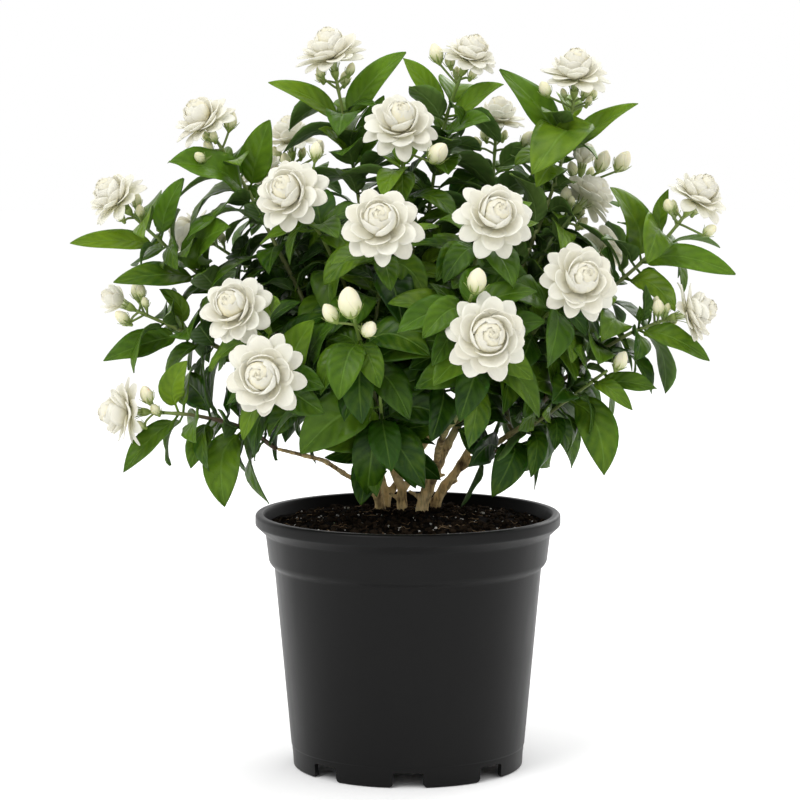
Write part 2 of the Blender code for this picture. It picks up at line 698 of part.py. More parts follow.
def spread(routes):
    """Bends the routes clear of each other, of the limbs and of the other shoots' blooms."""
    keys = list(routes)
    first = numpy.array([tuple(point) for key in keys for point in routes[key]])
    owner = numpy.array([number for number, key in enumerate(keys) for _point in routes[key]])
    held = numpy.zeros(len(first), bool)
    place_in = 0
    for key in keys:
        count = len(routes[key])
        held[place_in:place_in + 3] = True
        if key in BLOOMS:
            held[place_in + count - 2:place_in + count] = True
        place_in += count
    wood = []
    for limb in LIMBS:
        for number in range(41):
            point, _tangent, radius = limb_at(limb, number / 40)
            wood.append((*point, radius))
    wood = numpy.array(wood)
    heads = []
    for number, key in enumerate(keys):
        if key in BLOOMS:
            (spot, width, way, _limb, _share) = BLOOMS[key]
            centre = bloom_seat(key) + facing(*way) * (HEAD_CENTRE * width / 40.0)
            heads.append((*centre, 0.5 * width, number))
    heads = numpy.array(heads)
    moved = numpy.zeros_like(first)
    for _round in range(90):
        now = first + moved
        push = numpy.zeros_like(now)
        between = now[:, None, :] - now[None, :, :]
        distance = numpy.linalg.norm(between, axis=2) + 1e-6
        lack = numpy.where(owner[:, None] != owner[None, :], numpy.clip(SHOOT_SPACE - distance, 0, None), 0)
        push += numpy.sum(between / distance[:, :, None] * lack[:, :, None], axis=1) * 0.4
        between = now[:, None, :] - wood[None, :, :3]
        distance = numpy.linalg.norm(between, axis=2) + 1e-6
        lack = numpy.clip(wood[None, :, 3] + 3.2 - distance, 0, None)
        push += numpy.sum(between / distance[:, :, None] * lack[:, :, None], axis=1) * 0.3
        between = now[:, None, :] - heads[None, :, :3]
        distance = numpy.linalg.norm(between, axis=2) + 1e-6
        lack = numpy.clip(heads[None, :, 3] + 3.0 - distance, 0, None)
        lack = numpy.where(owner[:, None] != heads[None, :, 4], lack, 0)
        push += numpy.sum(between / distance[:, :, None] * lack[:, :, None], axis=1) * 0.5
        push[held] = 0.0
        moved += push
        smooth = moved.copy()
        smooth[1:-1] = 0.5 * moved[1:-1] + 0.25 * (moved[:-2] + moved[2:])
        smooth[held] = 0.0
        moved = smooth
    spread_routes = {}
    place_in = 0
    for key in keys:
        count = len(routes[key])
        spread_routes[key] = [Vector(row) for row in (first + moved)[place_in:place_in + count]]
        place_in += count
    return spread_routes


def straightened(points, tolerance):
    """The fewest of the points that keep the line within the tolerance."""
    first, last = points[0], points[-1]
    along = (last - first).normalized()
    offsets = [((point - first) - along * (point - first).dot(along)).length for point in points]
    widest = max(range(len(points)), key=lambda number: offsets[number])
    if offsets[widest] < tolerance:
        return [first, last]
    return straightened(points[:widest + 1], tolerance)[:-1] + straightened(points[widest:], tolerance)


class Route:
    """A shoot's middle line, with its frame at any distance from the start."""

    def __init__(self, points):
        self.points = points
        self.frames = carried_frames(points, (points[1] - points[0]).orthogonal())
        self.marks = [0.0]
        for before, after in zip(points, points[1:]):
            self.marks.append(self.marks[-1] + (after - before).length)
        self.length = self.marks[-1]

    def at(self, distance):
        distance = min(max(distance, 0.0), self.length)
        number = max(index for index, mark in enumerate(self.marks[:-1]) if mark <= distance)
        part = (distance - self.marks[number]) / (self.marks[number + 1] - self.marks[number])
        point = self.points[number].lerp(self.points[number + 1], part)
        tangent = self.frames[number][0].lerp(self.frames[number + 1][0], part).normalized()
        side = self.frames[number][1].lerp(self.frames[number + 1][1], part)
        side = (side - tangent * side.dot(tangent)).normalized()
        return point, tangent, side

    def radius(self, distance):
        share = distance / self.length
        return SHOOT_BASE_RADIUS + (SHOOT_TIP_RADIUS - SHOOT_BASE_RADIUS) * share


# Leaves and buds

def leaf_sections(stalk_end, start_way, tip, half_width, face_way, outline, swell=0.0):
    """Four-cornered sections (left edge, underside, right edge, top) and the blade's tip."""
    length = (tip - stalk_end).length
    bend = stalk_end + start_way * length * 0.36
    sections = []
    for share, width in ((0.0, 0.0),) + outline:
        point = stalk_end.lerp(bend, share).lerp(bend.lerp(tip, share), share)
        along = (bend.lerp(tip, share) - stalk_end.lerp(bend, share)).normalized()
        normal = (face_way - along * face_way.dot(along)).normalized()
        side = along.cross(normal)
        if share == 0.0:
            edge, thick, rise = 0.75 + swell, 0.55 + swell, Vector()
        else:
            edge = half_width * width + swell
            thick = BLADE_THICKNESS / 2 + swell
            rise = normal * (half_width * width * BLADE_FOLD)
        sections.append((point - side * edge + rise, point - normal * thick,
                         point + side * edge + rise, point + normal * thick))
    if swell:
        tip = tip + (tip - bend).normalized() * swell
    return sections, tip


def bud_sections(stalk_end, centre, width):
    """Sections of a pointed bud on its stalk, and its tip."""
    along = (centre - stalk_end).normalized()
    side = along.orthogonal().normalized()
    length = 1.35 * width
    sections = [
        corner_ring(centre - along * length * 0.5, along, side, 0.75, 4),
        corner_ring(centre - along * length * 0.05, along, side, width * 0.56, 4),
    ]
    return sections, centre + along * length * 0.5


def growth_lists(sections, tip):
    """Points and triangles of a growth that isn't joined to a stem, for clearance tests."""
    points = [corner for section in sections for corner in section] + [tip]
    faces = []
    for number in range(len(sections) - 1):
        for corner in range(4):
            low, high = 4 * number + corner, 4 * number + (corner + 1) % 4
            faces += split_panel(low, high, high + 4, low + 4, corner)
    last = 4 * (len(sections) - 1)
    for corner in range(4):
        faces.append((last + corner, last + (corner + 1) % 4, len(points) - 1))
    faces.append((0, 1, 2, 3))
    return points, faces


def split_panel(low, high, high_next, low_next, corner):
    """Two triangles, split from the blade's edge inward on the top and the underside alike."""
    if corner % 2 == 0:
        return [(low, high, high_next), (low, high_next, low_next)]
    return [(low, high, low_next), (high, high_next, low_next)]


class Shoot:
    """One green shoot: its route and the leaves and buds at its nodes."""

    def __init__(self, key, points):
        self.key = key
        self.route = Route(points)
        self.nodes = []
        self.chance = random.Random("shoot" + key)

    def node_near(self, distance):
        """The node at a distance from the shoot's start, made if there is room for it."""
        for node in self.nodes:
            if abs(node["at"] - distance) < NODE_LENGTH + 2.0:
                return node
        if distance < 8.0 or distance > self.route.length - 2.0:
            return None
        node = {"at": distance, "turn": None, "growths": {}}
        self.nodes.append(node)
        self.nodes.sort(key=lambda entry: entry["at"])
        return node

    def turn_toward(self, node, way):
        """Turns a bare node so that one of its sides faces the way given; returns the nearest side."""
        _point, tangent, side = self.route.at(node["at"])
        across = tangent.cross(side)
        angle = math.atan2(way.dot(across), way.dot(side))
        if node["turn"] is None:
            node["turn"] = math.remainder(angle, math.pi / 2)
        return round((angle - node["turn"]) / (math.pi / 2)) % 4

    def side_way(self, node, number):
        point, tangent, side = self.route.at(node["at"])
        angle = node["turn"] + number * math.pi / 2
        outward = side * math.cos(angle) + tangent.cross(side) * math.sin(angle)
        return point, tangent, outward

    def root_section(self, node, number, off, section):
        """The growth's section just off the stem, its corners turned to meet the next section."""
        point, tangent, outward = self.side_way(node, number)
        start = point + outward * (self.route.radius(node["at"]) + off)
        side = outward.cross(tangent)
        ring = [start + tangent * 0.9, start - side * 0.9, start - tangent * 0.9, start + side * 0.9]
        orders = [order[shift:] + order[:shift] for order in (ring, ring[::-1]) for shift in range(4)]
        return min(orders, key=lambda order: sum((a - b).length for a, b in zip(order, section)))

    def try_growth(self, node, number, growth, swollen, surroundings):
        """Keeps the growth if it clears everything placed before it."""
        root = self.root_section(node, number, 1.3, swollen[0][0])
        lists = growth_lists([root] + swollen[0], swollen[1])
        if surroundings.touches(*lists) or crosses_itself(*lists):
            return False
        node["growths"][number] = growth
        root = self.root_section(node, number, 0.3, growth[0][0])
        surroundings.add("growth", *growth_lists([root] + growth[0], growth[1]))
        return True

    def stalk(self, node, number, reach, lift):
        point, tangent, outward = self.side_way(node, number)
        way = (outward + tangent * lift).normalized()
        return point + outward * self.route.radius(node["at"]) + way * reach, way

    def add_leaf(self, node, number, tip, width_share, face_way, outline, surroundings):
        if number in node["growths"]:
            return False
        stalk_end, way = self.stalk(node, number, STALK_LENGTH, 0.6)
        half_width = 0.5 * width_share * (tip - stalk_end).length
        blade = (stalk_end, way, tip, half_width, face_way, outline)
        swollen = leaf_sections(*blade, swell=LEAF_CLEARANCE)
        return self.try_growth(node, number, leaf_sections(*blade), swollen, surroundings)

    def add_bud(self, node, number, centre, width, surroundings):
        if number in node["growths"]:
            return False
        stalk_end, _way = self.stalk(node, number, 1.0, 0.8)
        return self.try_growth(node, number, bud_sections(stalk_end, centre, width),
                               bud_sections(stalk_end, centre, width + 0.9), surroundings)


def place_shown_growths(shoots, surroundings):
    """Buds and the leaves whose tips are given."""
    missing = []
    for key, buds in BUDS.items():
        shoot = shoots[key]
        for number, (spot, width) in enumerate(buds):
            centre = place(*spot)
            node = shoot.node_near(shoot.route.length - 5.0 - 6.0 * (number // 2))
            side = shoot.turn_toward(node, centre - shoot.route.at(node["at"])[0])
            sides = [(side + more) % 4 for more in (0, 1, 3)]
            if not any(shoot.add_bud(node, near, centre, width, surroundings) for near in sides):
                missing.append(("bud", key, number))
    for key, leaves in LEAVES.items():
        shoot = shoots[key]
        for number, (drop, spot, width_share, way) in enumerate(leaves):
            node = shoot.node_near(shoot.route.length - drop)
            face_way = facing(*(way or (0.0, 0.75, 0.65)))
            if not place_leaf_at(shoot, node, place(*spot), width_share, face_way, surroundings):
                missing.append(("leaf", key, number))
    return missing


def place_leaf_at(shoot, node, tip, width_share, face_way, surroundings):
    """A leaf to the tip given, nudged until it clears its neighbours."""
    if node is None:
        return False
    chance = shoot.chance
    side = shoot.turn_toward(node, tip - shoot.route.at(node["at"])[0])
    for attempt in range(LEAF_TRIES):
        shift = Vector([chance.uniform(-1, 1) for _axis in range(3)]) * (0.7 * attempt)
        twist = Vector([chance.uniform(-1, 1) for _axis in range(3)]) * (0.07 * attempt)
        for more in (0, 1, 3):
            if shoot.add_leaf(node, (side + more) % 4, tip + shift, width_share, face_way + twist,
                              SHOWN_OUTLINE, surroundings):
                return True
    return False


def place_ruled_leaves(shoots, surroundings, middle):
    """Leaf pairs down every shoot, each pair crosswise to the last, where there is room."""
    waiting = []
    for shoot in shoots.values():
        at = shoot.route.length - FIRST_PAIR
        pair = 0
        while at > 8.5:
            if all(abs(node["at"] - at) > 8.0 for node in shoot.nodes):
                waiting.append((shoot, at, pair))
            at -= NODE_SPACING
            pair += 1
    waiting.sort(key=lambda entry: -(entry[0].route.at(entry[1])[0] - middle).length)
    for shoot, at, pair in waiting:
        node = shoot.node_near(at)
        if node is None:
            continue
        point, tangent, _side = shoot.route.at(node["at"])
        outward = point - middle
        outward = (outward - tangent * outward.dot(tangent)).normalized()
        if node["turn"] is None:
            shoot.turn_toward(node, outward if pair % 2 else tangent.cross(outward))
    for shoot in shoots.values():
        for node in shoot.nodes:
            if shoot.route.length - node["at"] < 13.0 and shoot.key in BLOOMS:
                continue
            fill_node(shoot, node, surroundings, middle)


def fill_node(shoot, node, surroundings, middle):
    """A pair of leaves at a node, or the second leaf of a pair."""
    chance = shoot.chance
    if node["turn"] is None:
        shoot.turn_toward(node, Vector((1.0, 0.0, 0.0)))
    taken = list(node["growths"])
    sides = [(taken[0] + 2) % 4] if taken else [0, 2]
    if len(taken) > 1:
        return
    below_top = shoot.route.length - node["at"]
    for side in sides:
        for attempt in range(LEAF_TRIES):
            point, tangent, outward = shoot.side_way(node, side)
            length = LEAF_LENGTH * min(1.0, 0.74 + 0.006 * below_top) * chance.uniform(0.88, 1.12)
            length *= 1.0 - 0.022 * attempt
            swing = chance.uniform(-1, 1) * (0.15 + 0.05 * attempt)
            rise = chance.uniform(0.0, 0.6)
            way = outward + tangent.cross(outward) * swing + tangent * rise
            way = (way.normalized() + Vector((0, 0, chance.uniform(-0.55, 0.05)))).normalized()
            tip = point + way * length
            if tip.z < LOWEST_LEAF:
                continue
            away = (tip - middle).normalized()
            unevenness = Vector([chance.uniform(-0.3, 0.3) for _axis in range(3)])
            face_way = Vector((0, 0, 0.5)) + away * 0.9 + unevenness
            width_share = LEAF_WIDTH_SHARE * chance.uniform(0.9, 1.12)
            if shoot.add_leaf(node, side, tip, width_share, face_way, BLADE_OUTLINE, surroundings):
                break


# Shoot meshes

def fill_panel(bm, low, high, high_next, low_next, corner):
    for triangle in split_panel(low, high, high_next, low_next, corner):
        bm.faces.new(triangle)


def match_corners(opening, section):
    """The opening's corners in the order that meets the section with least twist."""
    if section is None:
        return opening
    middle = sum((vert.co for vert in opening), Vector()) / 4
    centre = sum(section, Vector()) / 4
    best = None
    for order in (opening, opening[::-1]):
        for shift in range(4):
            turned_order = order[shift:] + order[:shift]
            score = sum((vert.co - middle).normalized().dot((corner - centre).normalized())
                        for vert, corner in zip(turned_order, section))
            if best is None or score > best[0]:
                best = (score, turned_order)
    return best[1]


def grow(bm, opening, sections, tip):
    """Draws a leaf or bud out of the opening left in the stem's side."""
    ring = match_corners(opening, sections[0] if sections else None)
    for section in sections:
        following = [bm.verts.new(corner) for corner in section]
        for corner in range(4):
            beside = (corner + 1) % 4
            fill_panel(bm, ring[corner], ring[beside], following[beside], following[corner], corner)
        ring = following
    end = bm.verts.new(tip)
    for corner in range(4):
        bm.faces.new((ring[corner], ring[(corner + 1) % 4], end))


def stem_stations(shoot):
    """Sections along the shoot: distance, turn of the section and the growths on its sides.

    A section turns at most an eighth of a turn from one node to the next.
    """
    quarter = math.pi / 2
    stations = [(0.0, None, {})]
    turn = 0.0
    for node in shoot.nodes:
        if not node["growths"]:
            continue
        shift = round((turn - node["turn"]) / quarter)
        turn = node["turn"] + shift * quarter
        growths = {(side - shift) % 4: growth for side, growth in node["growths"].items()}
        stations.append((node["at"] - NODE_LENGTH / 2, turn, growths))
        stations.append((node["at"] + NODE_LENGTH / 2, turn, {}))
    for mark in shoot.route.marks[1:-1]:
        if all(abs(mark - station[0]) > 2.2 for station in stations) and shoot.route.length - mark > 2.2:
            stations.append((mark, None, {}))
    stations.append((shoot.route.length, None, {}))
    stations.sort(key=lambda station: station[0])
    turns = [(distance, turn) for distance, turn, _growths in stations if turn is not None]
    filled = []
    for distance, turn, growths in stations:
        if turn is None and turns:
            turn = float(numpy.interp(distance, [entry[0] for entry in turns], [entry[1] for entry in turns]))
        filled.append((distance, turn or 0.0, growths))
    return filled


def shoot_mesh(shoot):
    """The whole shoot as one closed body: stem, leaves, buds and calyx."""
    bm = bmesh.new()
    eighth = math.pi / 4
    rings = []
    stations = stem_stations(shoot)
    for distance, turn, _growths in stations:
        point, tangent, side = shoot.route.at(distance)
        radius = shoot.route.radius(distance) * math.sqrt(2) * 0.9
        corners = corner_ring(point, tangent, side, radius, 4, turn - eighth)
        rings.append([bm.verts.new(corner) for corner in corners])
    for number in range(len(rings) - 1):
        ring, following = rings[number], rings[number + 1]
        growths = stations[number][2]
        for corner in range(4):
            beside = (corner + 1) % 4
            if corner in growths:
                opening = [ring[corner], ring[beside], following[beside], following[corner]]
                grow(bm, opening, *growths[corner])
            else:
                fill_panel(bm, ring[corner], ring[beside], following[beside], following[corner], 0)
    bm.faces.new(rings[0])
    end = rings[-1]
    point, tangent, side = shoot.route.at(shoot.route.length)
    turn = stations[-1][1] - eighth
    if shoot.key not in BLOOMS:
        grow(bm, end, *end_bud(shoot))
        return bm
    tangent = facing(*BLOOMS[shoot.key][2])
    brim = corner_ring(point + tangent * CALYX_LENGTH, tangent, side, CALYX_RADIUS, 4, turn)
    brim = [bm.verts.new(corner) for corner in brim]
    sepals = corner_ring(point + tangent * (CALYX_LENGTH + 1.6), tangent, side, SEPAL_REACH, 4, turn + eighth)
    for corner in range(4):
        beside = (corner + 1) % 4
        sepal = bm.verts.new(sepals[corner])
        for pair in ((end[corner], end[beside]), (end[beside], brim[beside]), (brim[beside], brim[corner]),
                     (brim[corner], end[corner])):
            bm.faces.new((*pair, sepal))
    bm.faces.new(brim)
    return bm


def end_bud(shoot):
    """The bud or the young leaf point that ends a shoot without a bloom."""
    point, tangent, _side = shoot.route.at(shoot.route.length)
    width = LEAFY[shoot.key][3]
    if width:
        return bud_sections(point, point + tangent * (1.3 * width), width)
    return [], point + tangent * 4.0


def bare_stem_lists(shoot):
    points = list(shoot.route.points)
    if shoot.key not in BLOOMS:
        points.append(points[-1] + (points[-1] - points[-2]).normalized() * 4.0)
    radii = [shoot.route.radius(0.0) + 0.3] * len(points)
    return mesh_lists(tube(points, radii, 4))


def lay_out():
    """Routes all the shoots and places their leaves and buds clear of everything else."""
    surroundings = Surroundings()
    filled_pot = prism((0.0, 0.0), RIM_RADIUS + 1.0, 0.0, POT_HEIGHT + 1.2, POT_SIDES)
    surroundings.add("filled_pot", *mesh_lists(filled_pot))
    for key in LIMBS:
        for bm in limb_tubes(key):
            surroundings.add("limb_" + key, *mesh_lists(bm))
    for key in BLOOMS:
        surroundings.add("bloom_" + key, *mesh_lists(bloom_mesh(key)))
    shoots = {}
    for key, points in spread(draw_routes()).items():
        shoots[key] = Shoot(key, points[:1] + straightened(points[1:], STRAIGHTENING))
    for key, shoot in shoots.items():
        surroundings.add("stem_" + key, *bare_stem_lists(shoot))
        if key in LEAFY and LEAFY[key][3]:
            surroundings.add("bud", *growth_lists(*end_bud(shoot)))
    missing = place_shown_growths(shoots, surroundings)
    place_ruled_leaves(shoots, surroundings, place(*BUSH_MIDDLE))
    return shoots, missing


def main():
    remove_everything()
    looks = {
        "pot": material("black_plastic", (0.020, 0.021, 0.021), 0.42),
        "soil": material("potting_soil", (0.018, 0.012, 0.008), 0.95),
        "bark": material("bark", (0.20, 0.125, 0.06), 0.85),
        "green": material("leaf_green", (0.055, 0.16, 0.02), 0.38),
        "petal": material("petal_white", (0.86, 0.84, 0.74), 0.55),
    }
    make_pot(looks["pot"])
    make_soil(looks["soil"])
    make_limbs(looks["bark"])
    for key in BLOOMS:
        make_object("bloom_" + key, bloom_mesh(key), looks["petal"], 40)
    shoots, missing = lay_out()
    for key, shoot in shoots.items():
        name = "shoot_" + key if key in BLOOMS else "leafy_shoot_" + key
        make_object(name, shoot_mesh(shoot), looks["green"], 50)
    return shoots, missing


SHOOTS, MISSING = main()
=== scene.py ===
import math
import random

import bmesh
import bpy
import numpy
from mathutils import Matrix, Vector, noise
from mathutils.bvhtree import BVHTree


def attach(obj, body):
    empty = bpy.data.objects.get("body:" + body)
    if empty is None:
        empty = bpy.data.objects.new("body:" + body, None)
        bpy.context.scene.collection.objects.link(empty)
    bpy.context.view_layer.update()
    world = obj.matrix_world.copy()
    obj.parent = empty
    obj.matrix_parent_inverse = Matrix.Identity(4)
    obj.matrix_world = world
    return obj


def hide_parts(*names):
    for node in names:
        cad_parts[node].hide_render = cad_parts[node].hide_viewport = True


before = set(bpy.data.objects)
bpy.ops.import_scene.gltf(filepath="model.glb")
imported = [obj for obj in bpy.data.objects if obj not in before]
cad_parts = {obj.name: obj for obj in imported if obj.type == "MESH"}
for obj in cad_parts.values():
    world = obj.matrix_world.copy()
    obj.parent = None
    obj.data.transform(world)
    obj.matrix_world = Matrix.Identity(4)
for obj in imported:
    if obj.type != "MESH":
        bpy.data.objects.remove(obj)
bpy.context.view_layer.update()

# Lengths are in millimetres until a mesh is made, and +Z is up with the front at -Y.
# A place in the bush is given as (across, up, forward): how far across and how high it shows
# from the front, and how far it stands in front of the upright plane through the pot's axis.

MM = 0.001
# Left free between solids that stand against each other
GAP = 0.35

# Pot, a thermoformed six-inch nursery pot
POT_SIDES = 34
POT_HEIGHT = 127.5
RIM_RADIUS = 77.0
RIM_OPENING = 72.4
RIM_DROP = 6.2
COLLAR_TOP_RADIUS = 71.9
COLLAR_BOTTOM_RADIUS = 70.3
COLLAR_TOP = 118.0
COLLAR_BOTTOM = 104.6
BODY_TOP_RADIUS = 67.5
BODY_TOP = 101.0
FOOT_RADIUS = 58.3
WALL = 1.9
FLOOR_UNDERSIDE = 8.0
FLOOR_TOP = 10.2
FOOT_NOTCH_WIDTH = 15.0
FOOT_NOTCH_PAIRS = 4
DRAIN_HOLES = 4
DRAIN_RADIUS = 6.0
DRAIN_CIRCLE = 36.0

# Potting soil
SOIL_EDGE = 122.3
SOIL_CROWN = 127.0
SOIL_ROUGHNESS = 0.9
ROOT_DEPTH = 22.0

# Where the bush is seen from, to place its parts over one another
VIEW_DISTANCE = 1500.0
VIEW_HEIGHT = 350.0
VIEW_ACROSS = -4.0

# Woody limbs: (across, up, forward, radius) from the root's end to the tip
LIMBS = {
    "a": [(-14, 106, -20, 2.7), (-14, 129, -20, 2.7), (-17, 142.5, -19, 2.5), (-23, 165, -14, 2.3),
          (-31.5, 187.5, -5, 2.0), (-42, 207, 5, 1.5)],
    "e": [(-16, 136, -19, 1.2), (-25, 143.5, -14, 1.4), (-32.5, 148, -8, 1.4), (-42, 154.5, 2, 1.3),
          (-56, 158, 10, 1.2), (-66, 160.5, 15, 1.1)],
    "h": [(-16.6, 141, -19, 1.6), (-18.5, 150, -8, 1.9), (-24, 162, 12, 1.8), (-33, 174, 34, 1.6),
          (-45, 184, 54, 1.4)],
    "b": [(-3, 106, -18, 2.6), (-3, 129, -18, 2.6), (-3, 141, -18, 2.4), (-8, 150, -20, 2.0),
          (-9, 168, -22, 1.8), (-12, 192, -20, 1.4)],
    "b2": [(-3, 138, -18, 1.7), (2.5, 147, -21, 1.9), (5, 166, -20, 1.7), (8, 190, -12, 1.4)],
    "c": [(7, 106, -13, 3.3), (7, 128, -13, 3.3), (11, 142.5, -12, 3.1), (15, 152.5, -10, 2.8),
          (19, 161, -8, 2.4), (25, 172, -3, 2.0), (34, 191, 6, 1.5)],
    "i": [(14.5, 151, -10.5, 1.7), (15, 160, 4, 1.9), (19, 170, 22, 1.8), (27, 180, 41, 1.6),
          (35, 190, 57, 1.4)],
    "d": [(14, 106, -27, 2.8), (14, 129, -27, 2.8), (18.5, 141.5, -25, 2.6), (25, 149.5, -22, 2.3),
          (29, 157, -21, 2.0), (38, 172, -15, 1.7), (50, 187, -5, 1.4)],
    "d2": [(24, 148.5, -22.5, 1.5), (32, 154.5, -18, 1.9), (45, 163.5, -8, 1.7), (59, 173, 4, 1.4)],
    "f": [(-11, 106, -38, 2.5), (-11, 128, -38, 2.5), (-14, 148, -41, 2.3), (-24, 175, -49, 1.8),
          (-36, 197, -54, 1.4)],
    "g": [(-11.4, 134, -38.5, 1.7), (-5, 144, -42, 2.0), (4, 157, -47, 1.9), (18, 177, -52, 1.7),
          (33, 197, -55, 1.4)],
}
# Short dead stubs on the limbs: limb, share of its length, direction, length
STUBS = {
    "b": [(0.30, (-0.8, 0.3, 0.6), 6.0)],
    "c": [(0.29, (-0.9, 0.2, 0.6), 6.5), (0.42, (0.9, 0.3, 0.3), 4.5)],
    "d": [(0.36, (0.9, 0.1, 0.4), 5.0), (0.24, (-0.7, 0.4, 0.7), 4.5)],
}
# One woody body for each group of limbs that grow from one root
LIMB_GROUPS = {
    "woody_stem_left": ("a", "e", "h"),
    "woody_stem_middle": ("b", "b2"),
    "woody_stem_right": ("c", "i"),
    "woody_stem_far_right": ("d", "d2"),
    "woody_stem_back": ("f", "g"),
}
# Leaves turn their faces away from here, as (across, up, forward)
BUSH_MIDDLE = (-2.0, 205.0, -10.0)

# Flowering shoots: where the bloom shows, its width, the way it faces (across, forward, up),
# the limb that the shoot grows from and how far along that limb
BLOOMS = {
    "01": ((-39, 361.5, -18), 37, (-0.2, 0.3, 1.0), "b", 1.0),
    "02": ((32, 360, -12), 30, (0.4, 0.35, 0.9), "b2", 0.84),
    "03": ((83.5, 351.5, -25), 36, (0.05, 0.35, 1.0), "c", 1.0),
    "04": ((-103.5, 327.5, 5), 33, (-0.5, 0.4, 0.8), "a", 1.0),
    "05": ((-59, 319.5, -68), 31, (-0.1, 0.1, 1.0), "f", 1.0),
    "06": ((-3.5, 325.5, 28), 38, (0.0, 0.75, 0.7), "b2", 1.0),
    "07": ((45, 329, -70), 31, (0.1, 0.1, 1.0), "g", 1.0),
    "08": ((-148, 289, 12), 33, (-0.6, 0.4, 0.7), "a", 0.93),
    "09": ((-60.5, 290, 58), 38, (-0.35, 0.85, 0.45), "a", 0.84),
    "10": ((-14, 275, 88), 40, (-0.05, 0.9, 0.45), "h", 0.66),
    "11": ((44, 278.5, 84), 39, (0.2, 0.9, 0.4), "i", 0.76),
    "12": ((92.5, 289.5, -30), 32, (0.6, -0.3, 0.6), "d", 0.9),
    "13": ((146.5, 290, 8), 33, (0.5, 0.35, 0.8), "d", 1.0),
    "14": ((-111, 269, -35), 32, (-0.9, 0.1, 0.35), "f", 0.9),
    "15": ((-88, 232.5, 74), 37, (-0.3, 0.85, 0.45), "h", 1.0),
    "16": ((87, 246, 80), 39, (0.25, 0.9, 0.35), "d2", 0.84),
    "17": ((-73, 197.5, 94), 41, (-0.2, 1.0, 0.15), "h", 0.83),
    "18": ((40.5, 217.5, 108), 42, (0.1, 1.0, 0.2), "i", 1.0),
    "19": ((145.5, 230, 20), 34, (0.9, 0.2, 0.25), "d2", 1.0),
    "20": ((-146, 179, 34), 35, (-0.95, 0.25, 0.02), "e", 1.0),
    "21": ((102, 263.5, -60), 31, (0.6, -0.4, 0.6), "g", 0.82),
    "22": ((-73, 302.5, -40), 29, (-0.3, -0.1, 0.9), "f", 0.8),
    "23": ((-149.5, 237.5, 8), 16, (-0.8, 0.1, 0.45), "a", 0.75),
    "24": ((88, 310.5, -45), 15, (0.15, 0.1, 1.0), "g", 0.92),
}
# Leafy shoots without a bloom: where the shoot's end shows, limb, share of its length and
# width of the bud at the shoot's end
LEAFY = {
    "low_left": ((-14, 186, 58), "h", 0.36, 0.0),
    "low_right": ((100, 200, 38), "d2", 0.42, 7.0),
    "front_left": ((-27, 226, 89), "h", 0.5, 11.0),
    "front_right": ((32, 238, 92), "i", 0.6, 9.0),
    "back": ((2, 268, -112), "f", 0.62, 6.0),
}
# Leaves that show at the bush's edge: how far below the bloom they leave the shoot,
# then where the tip shows, width as a share of length, and the way the blade faces
LEAVES = {
    "01": [(22, (-69.5, 344, -12), 0.36, None), (22, (-1, 359, -20), 0.40, None),
           (42, (-44.5, 321, -5), 0.40, None), (42, (-12, 337.5, -25), 0.40, None)],
    "02": [(23, (-2.5, 356, -20), 0.42, None), (23, (47.5, 343, -5), 0.42, None),
           (36, (41, 325, 8), 0.40, None)],
    "03": [(26, (45.5, 350.5, -30), 0.40, None), (26, (114.5, 333.5, -20), 0.36, None),
           (30, (65, 299, 16), 0.75, (0.0, 1.0, 0.15))],
    "04": [(30, (-69, 325.5, 10), 0.50, None), (30, (-119.5, 304.5, 22), 0.52, None)],
    "08": [(20, (-112, 296.5, 5), 0.45, None), (20, (-169, 264, 15), 0.30, None),
           (46, (-147.5, 244.5, 20), 0.40, None), (46, (-89, 272, 25), 0.55, None)],
    "13": [(32, (101, 292, 15), 0.50, None), (32, (164, 248.5, 12), 0.32, None),
           (16, (130, 291, 6), 0.35, None), (44, (134, 230, 18), 0.45, None)],
    "19": [(15, (116, 232.5, 22), 0.45, None), (15, (151.5, 205, 24), 0.40, None)],
    "20": [(14, (-143.5, 148.5, 34), 0.38, None), (14, (-111, 205, 30), 0.60, None),
           (34, (-109.5, 150.5, 34), 0.50, None), (48, (-92.5, 131, 30), 0.55, None)],
    "23": [(26, (-124.5, 241, 6), 0.45, None), (26, (-153, 205, 14), 0.40, None)],
    "low_left": [(22, (-20.5, 137, 40), 0.55, (0.0, 1.0, 0.1)), (30, (4, 141, 30), 0.60, (0.0, 1.0, 0.2)),
                 (8, (-54, 158, 60), 0.60, (-0.2, 1.0, 0.2))],
    "low_right": [(9, (125, 191, 36), 0.45, None), (9, (113, 180, 48), 0.45, None),
                  (26, (99, 147, 42), 0.52, (0.2, 1.0, 0.2)), (40, (74, 160, 36), 0.50, None),
                  (54, (62, 146, 30), 0.45, (0.1, 1.0, 0.2)), (66, (42.5, 136, 26), 0.62, (0.0, 1.0, 0.1))],
}
# Buds, by shoot: where they show and their width
BUDS = {
    "01": [((-43.5, 349.5, -14), 4.5)],
    "02": [((14, 358.5, -14), 7)],
    "03": [((68, 341, -12), 6), ((92, 338, -38), 4.5)],
    "04": [((-88.5, 325.5, 0), 7), ((-104, 307, 15), 5)],
    "05": [((-45, 311, -60), 7)],
    "06": [((15, 309, 34), 9)],
    "07": [((60, 316, -60), 7)],
    "09": [((-46, 310, 44), 6)],
    "12": [((79, 288, -22), 6)],
    "13": [((130, 283, 16), 5), ((151, 270.5, 14), 5.5)],
    "19": [((125.5, 232, 26), 6)],
    "20": [((-131.5, 188, 38), 6.5)],
    "23": [((-143.5, 227, 14), 6), ((-136, 240, 2), 6)],
    "24": [((97, 305, -38), 8), ((107, 305, -36), 8)],
    "front_left": [((-39, 229, 90), 7), ((-19.5, 221, 95), 7)],
}

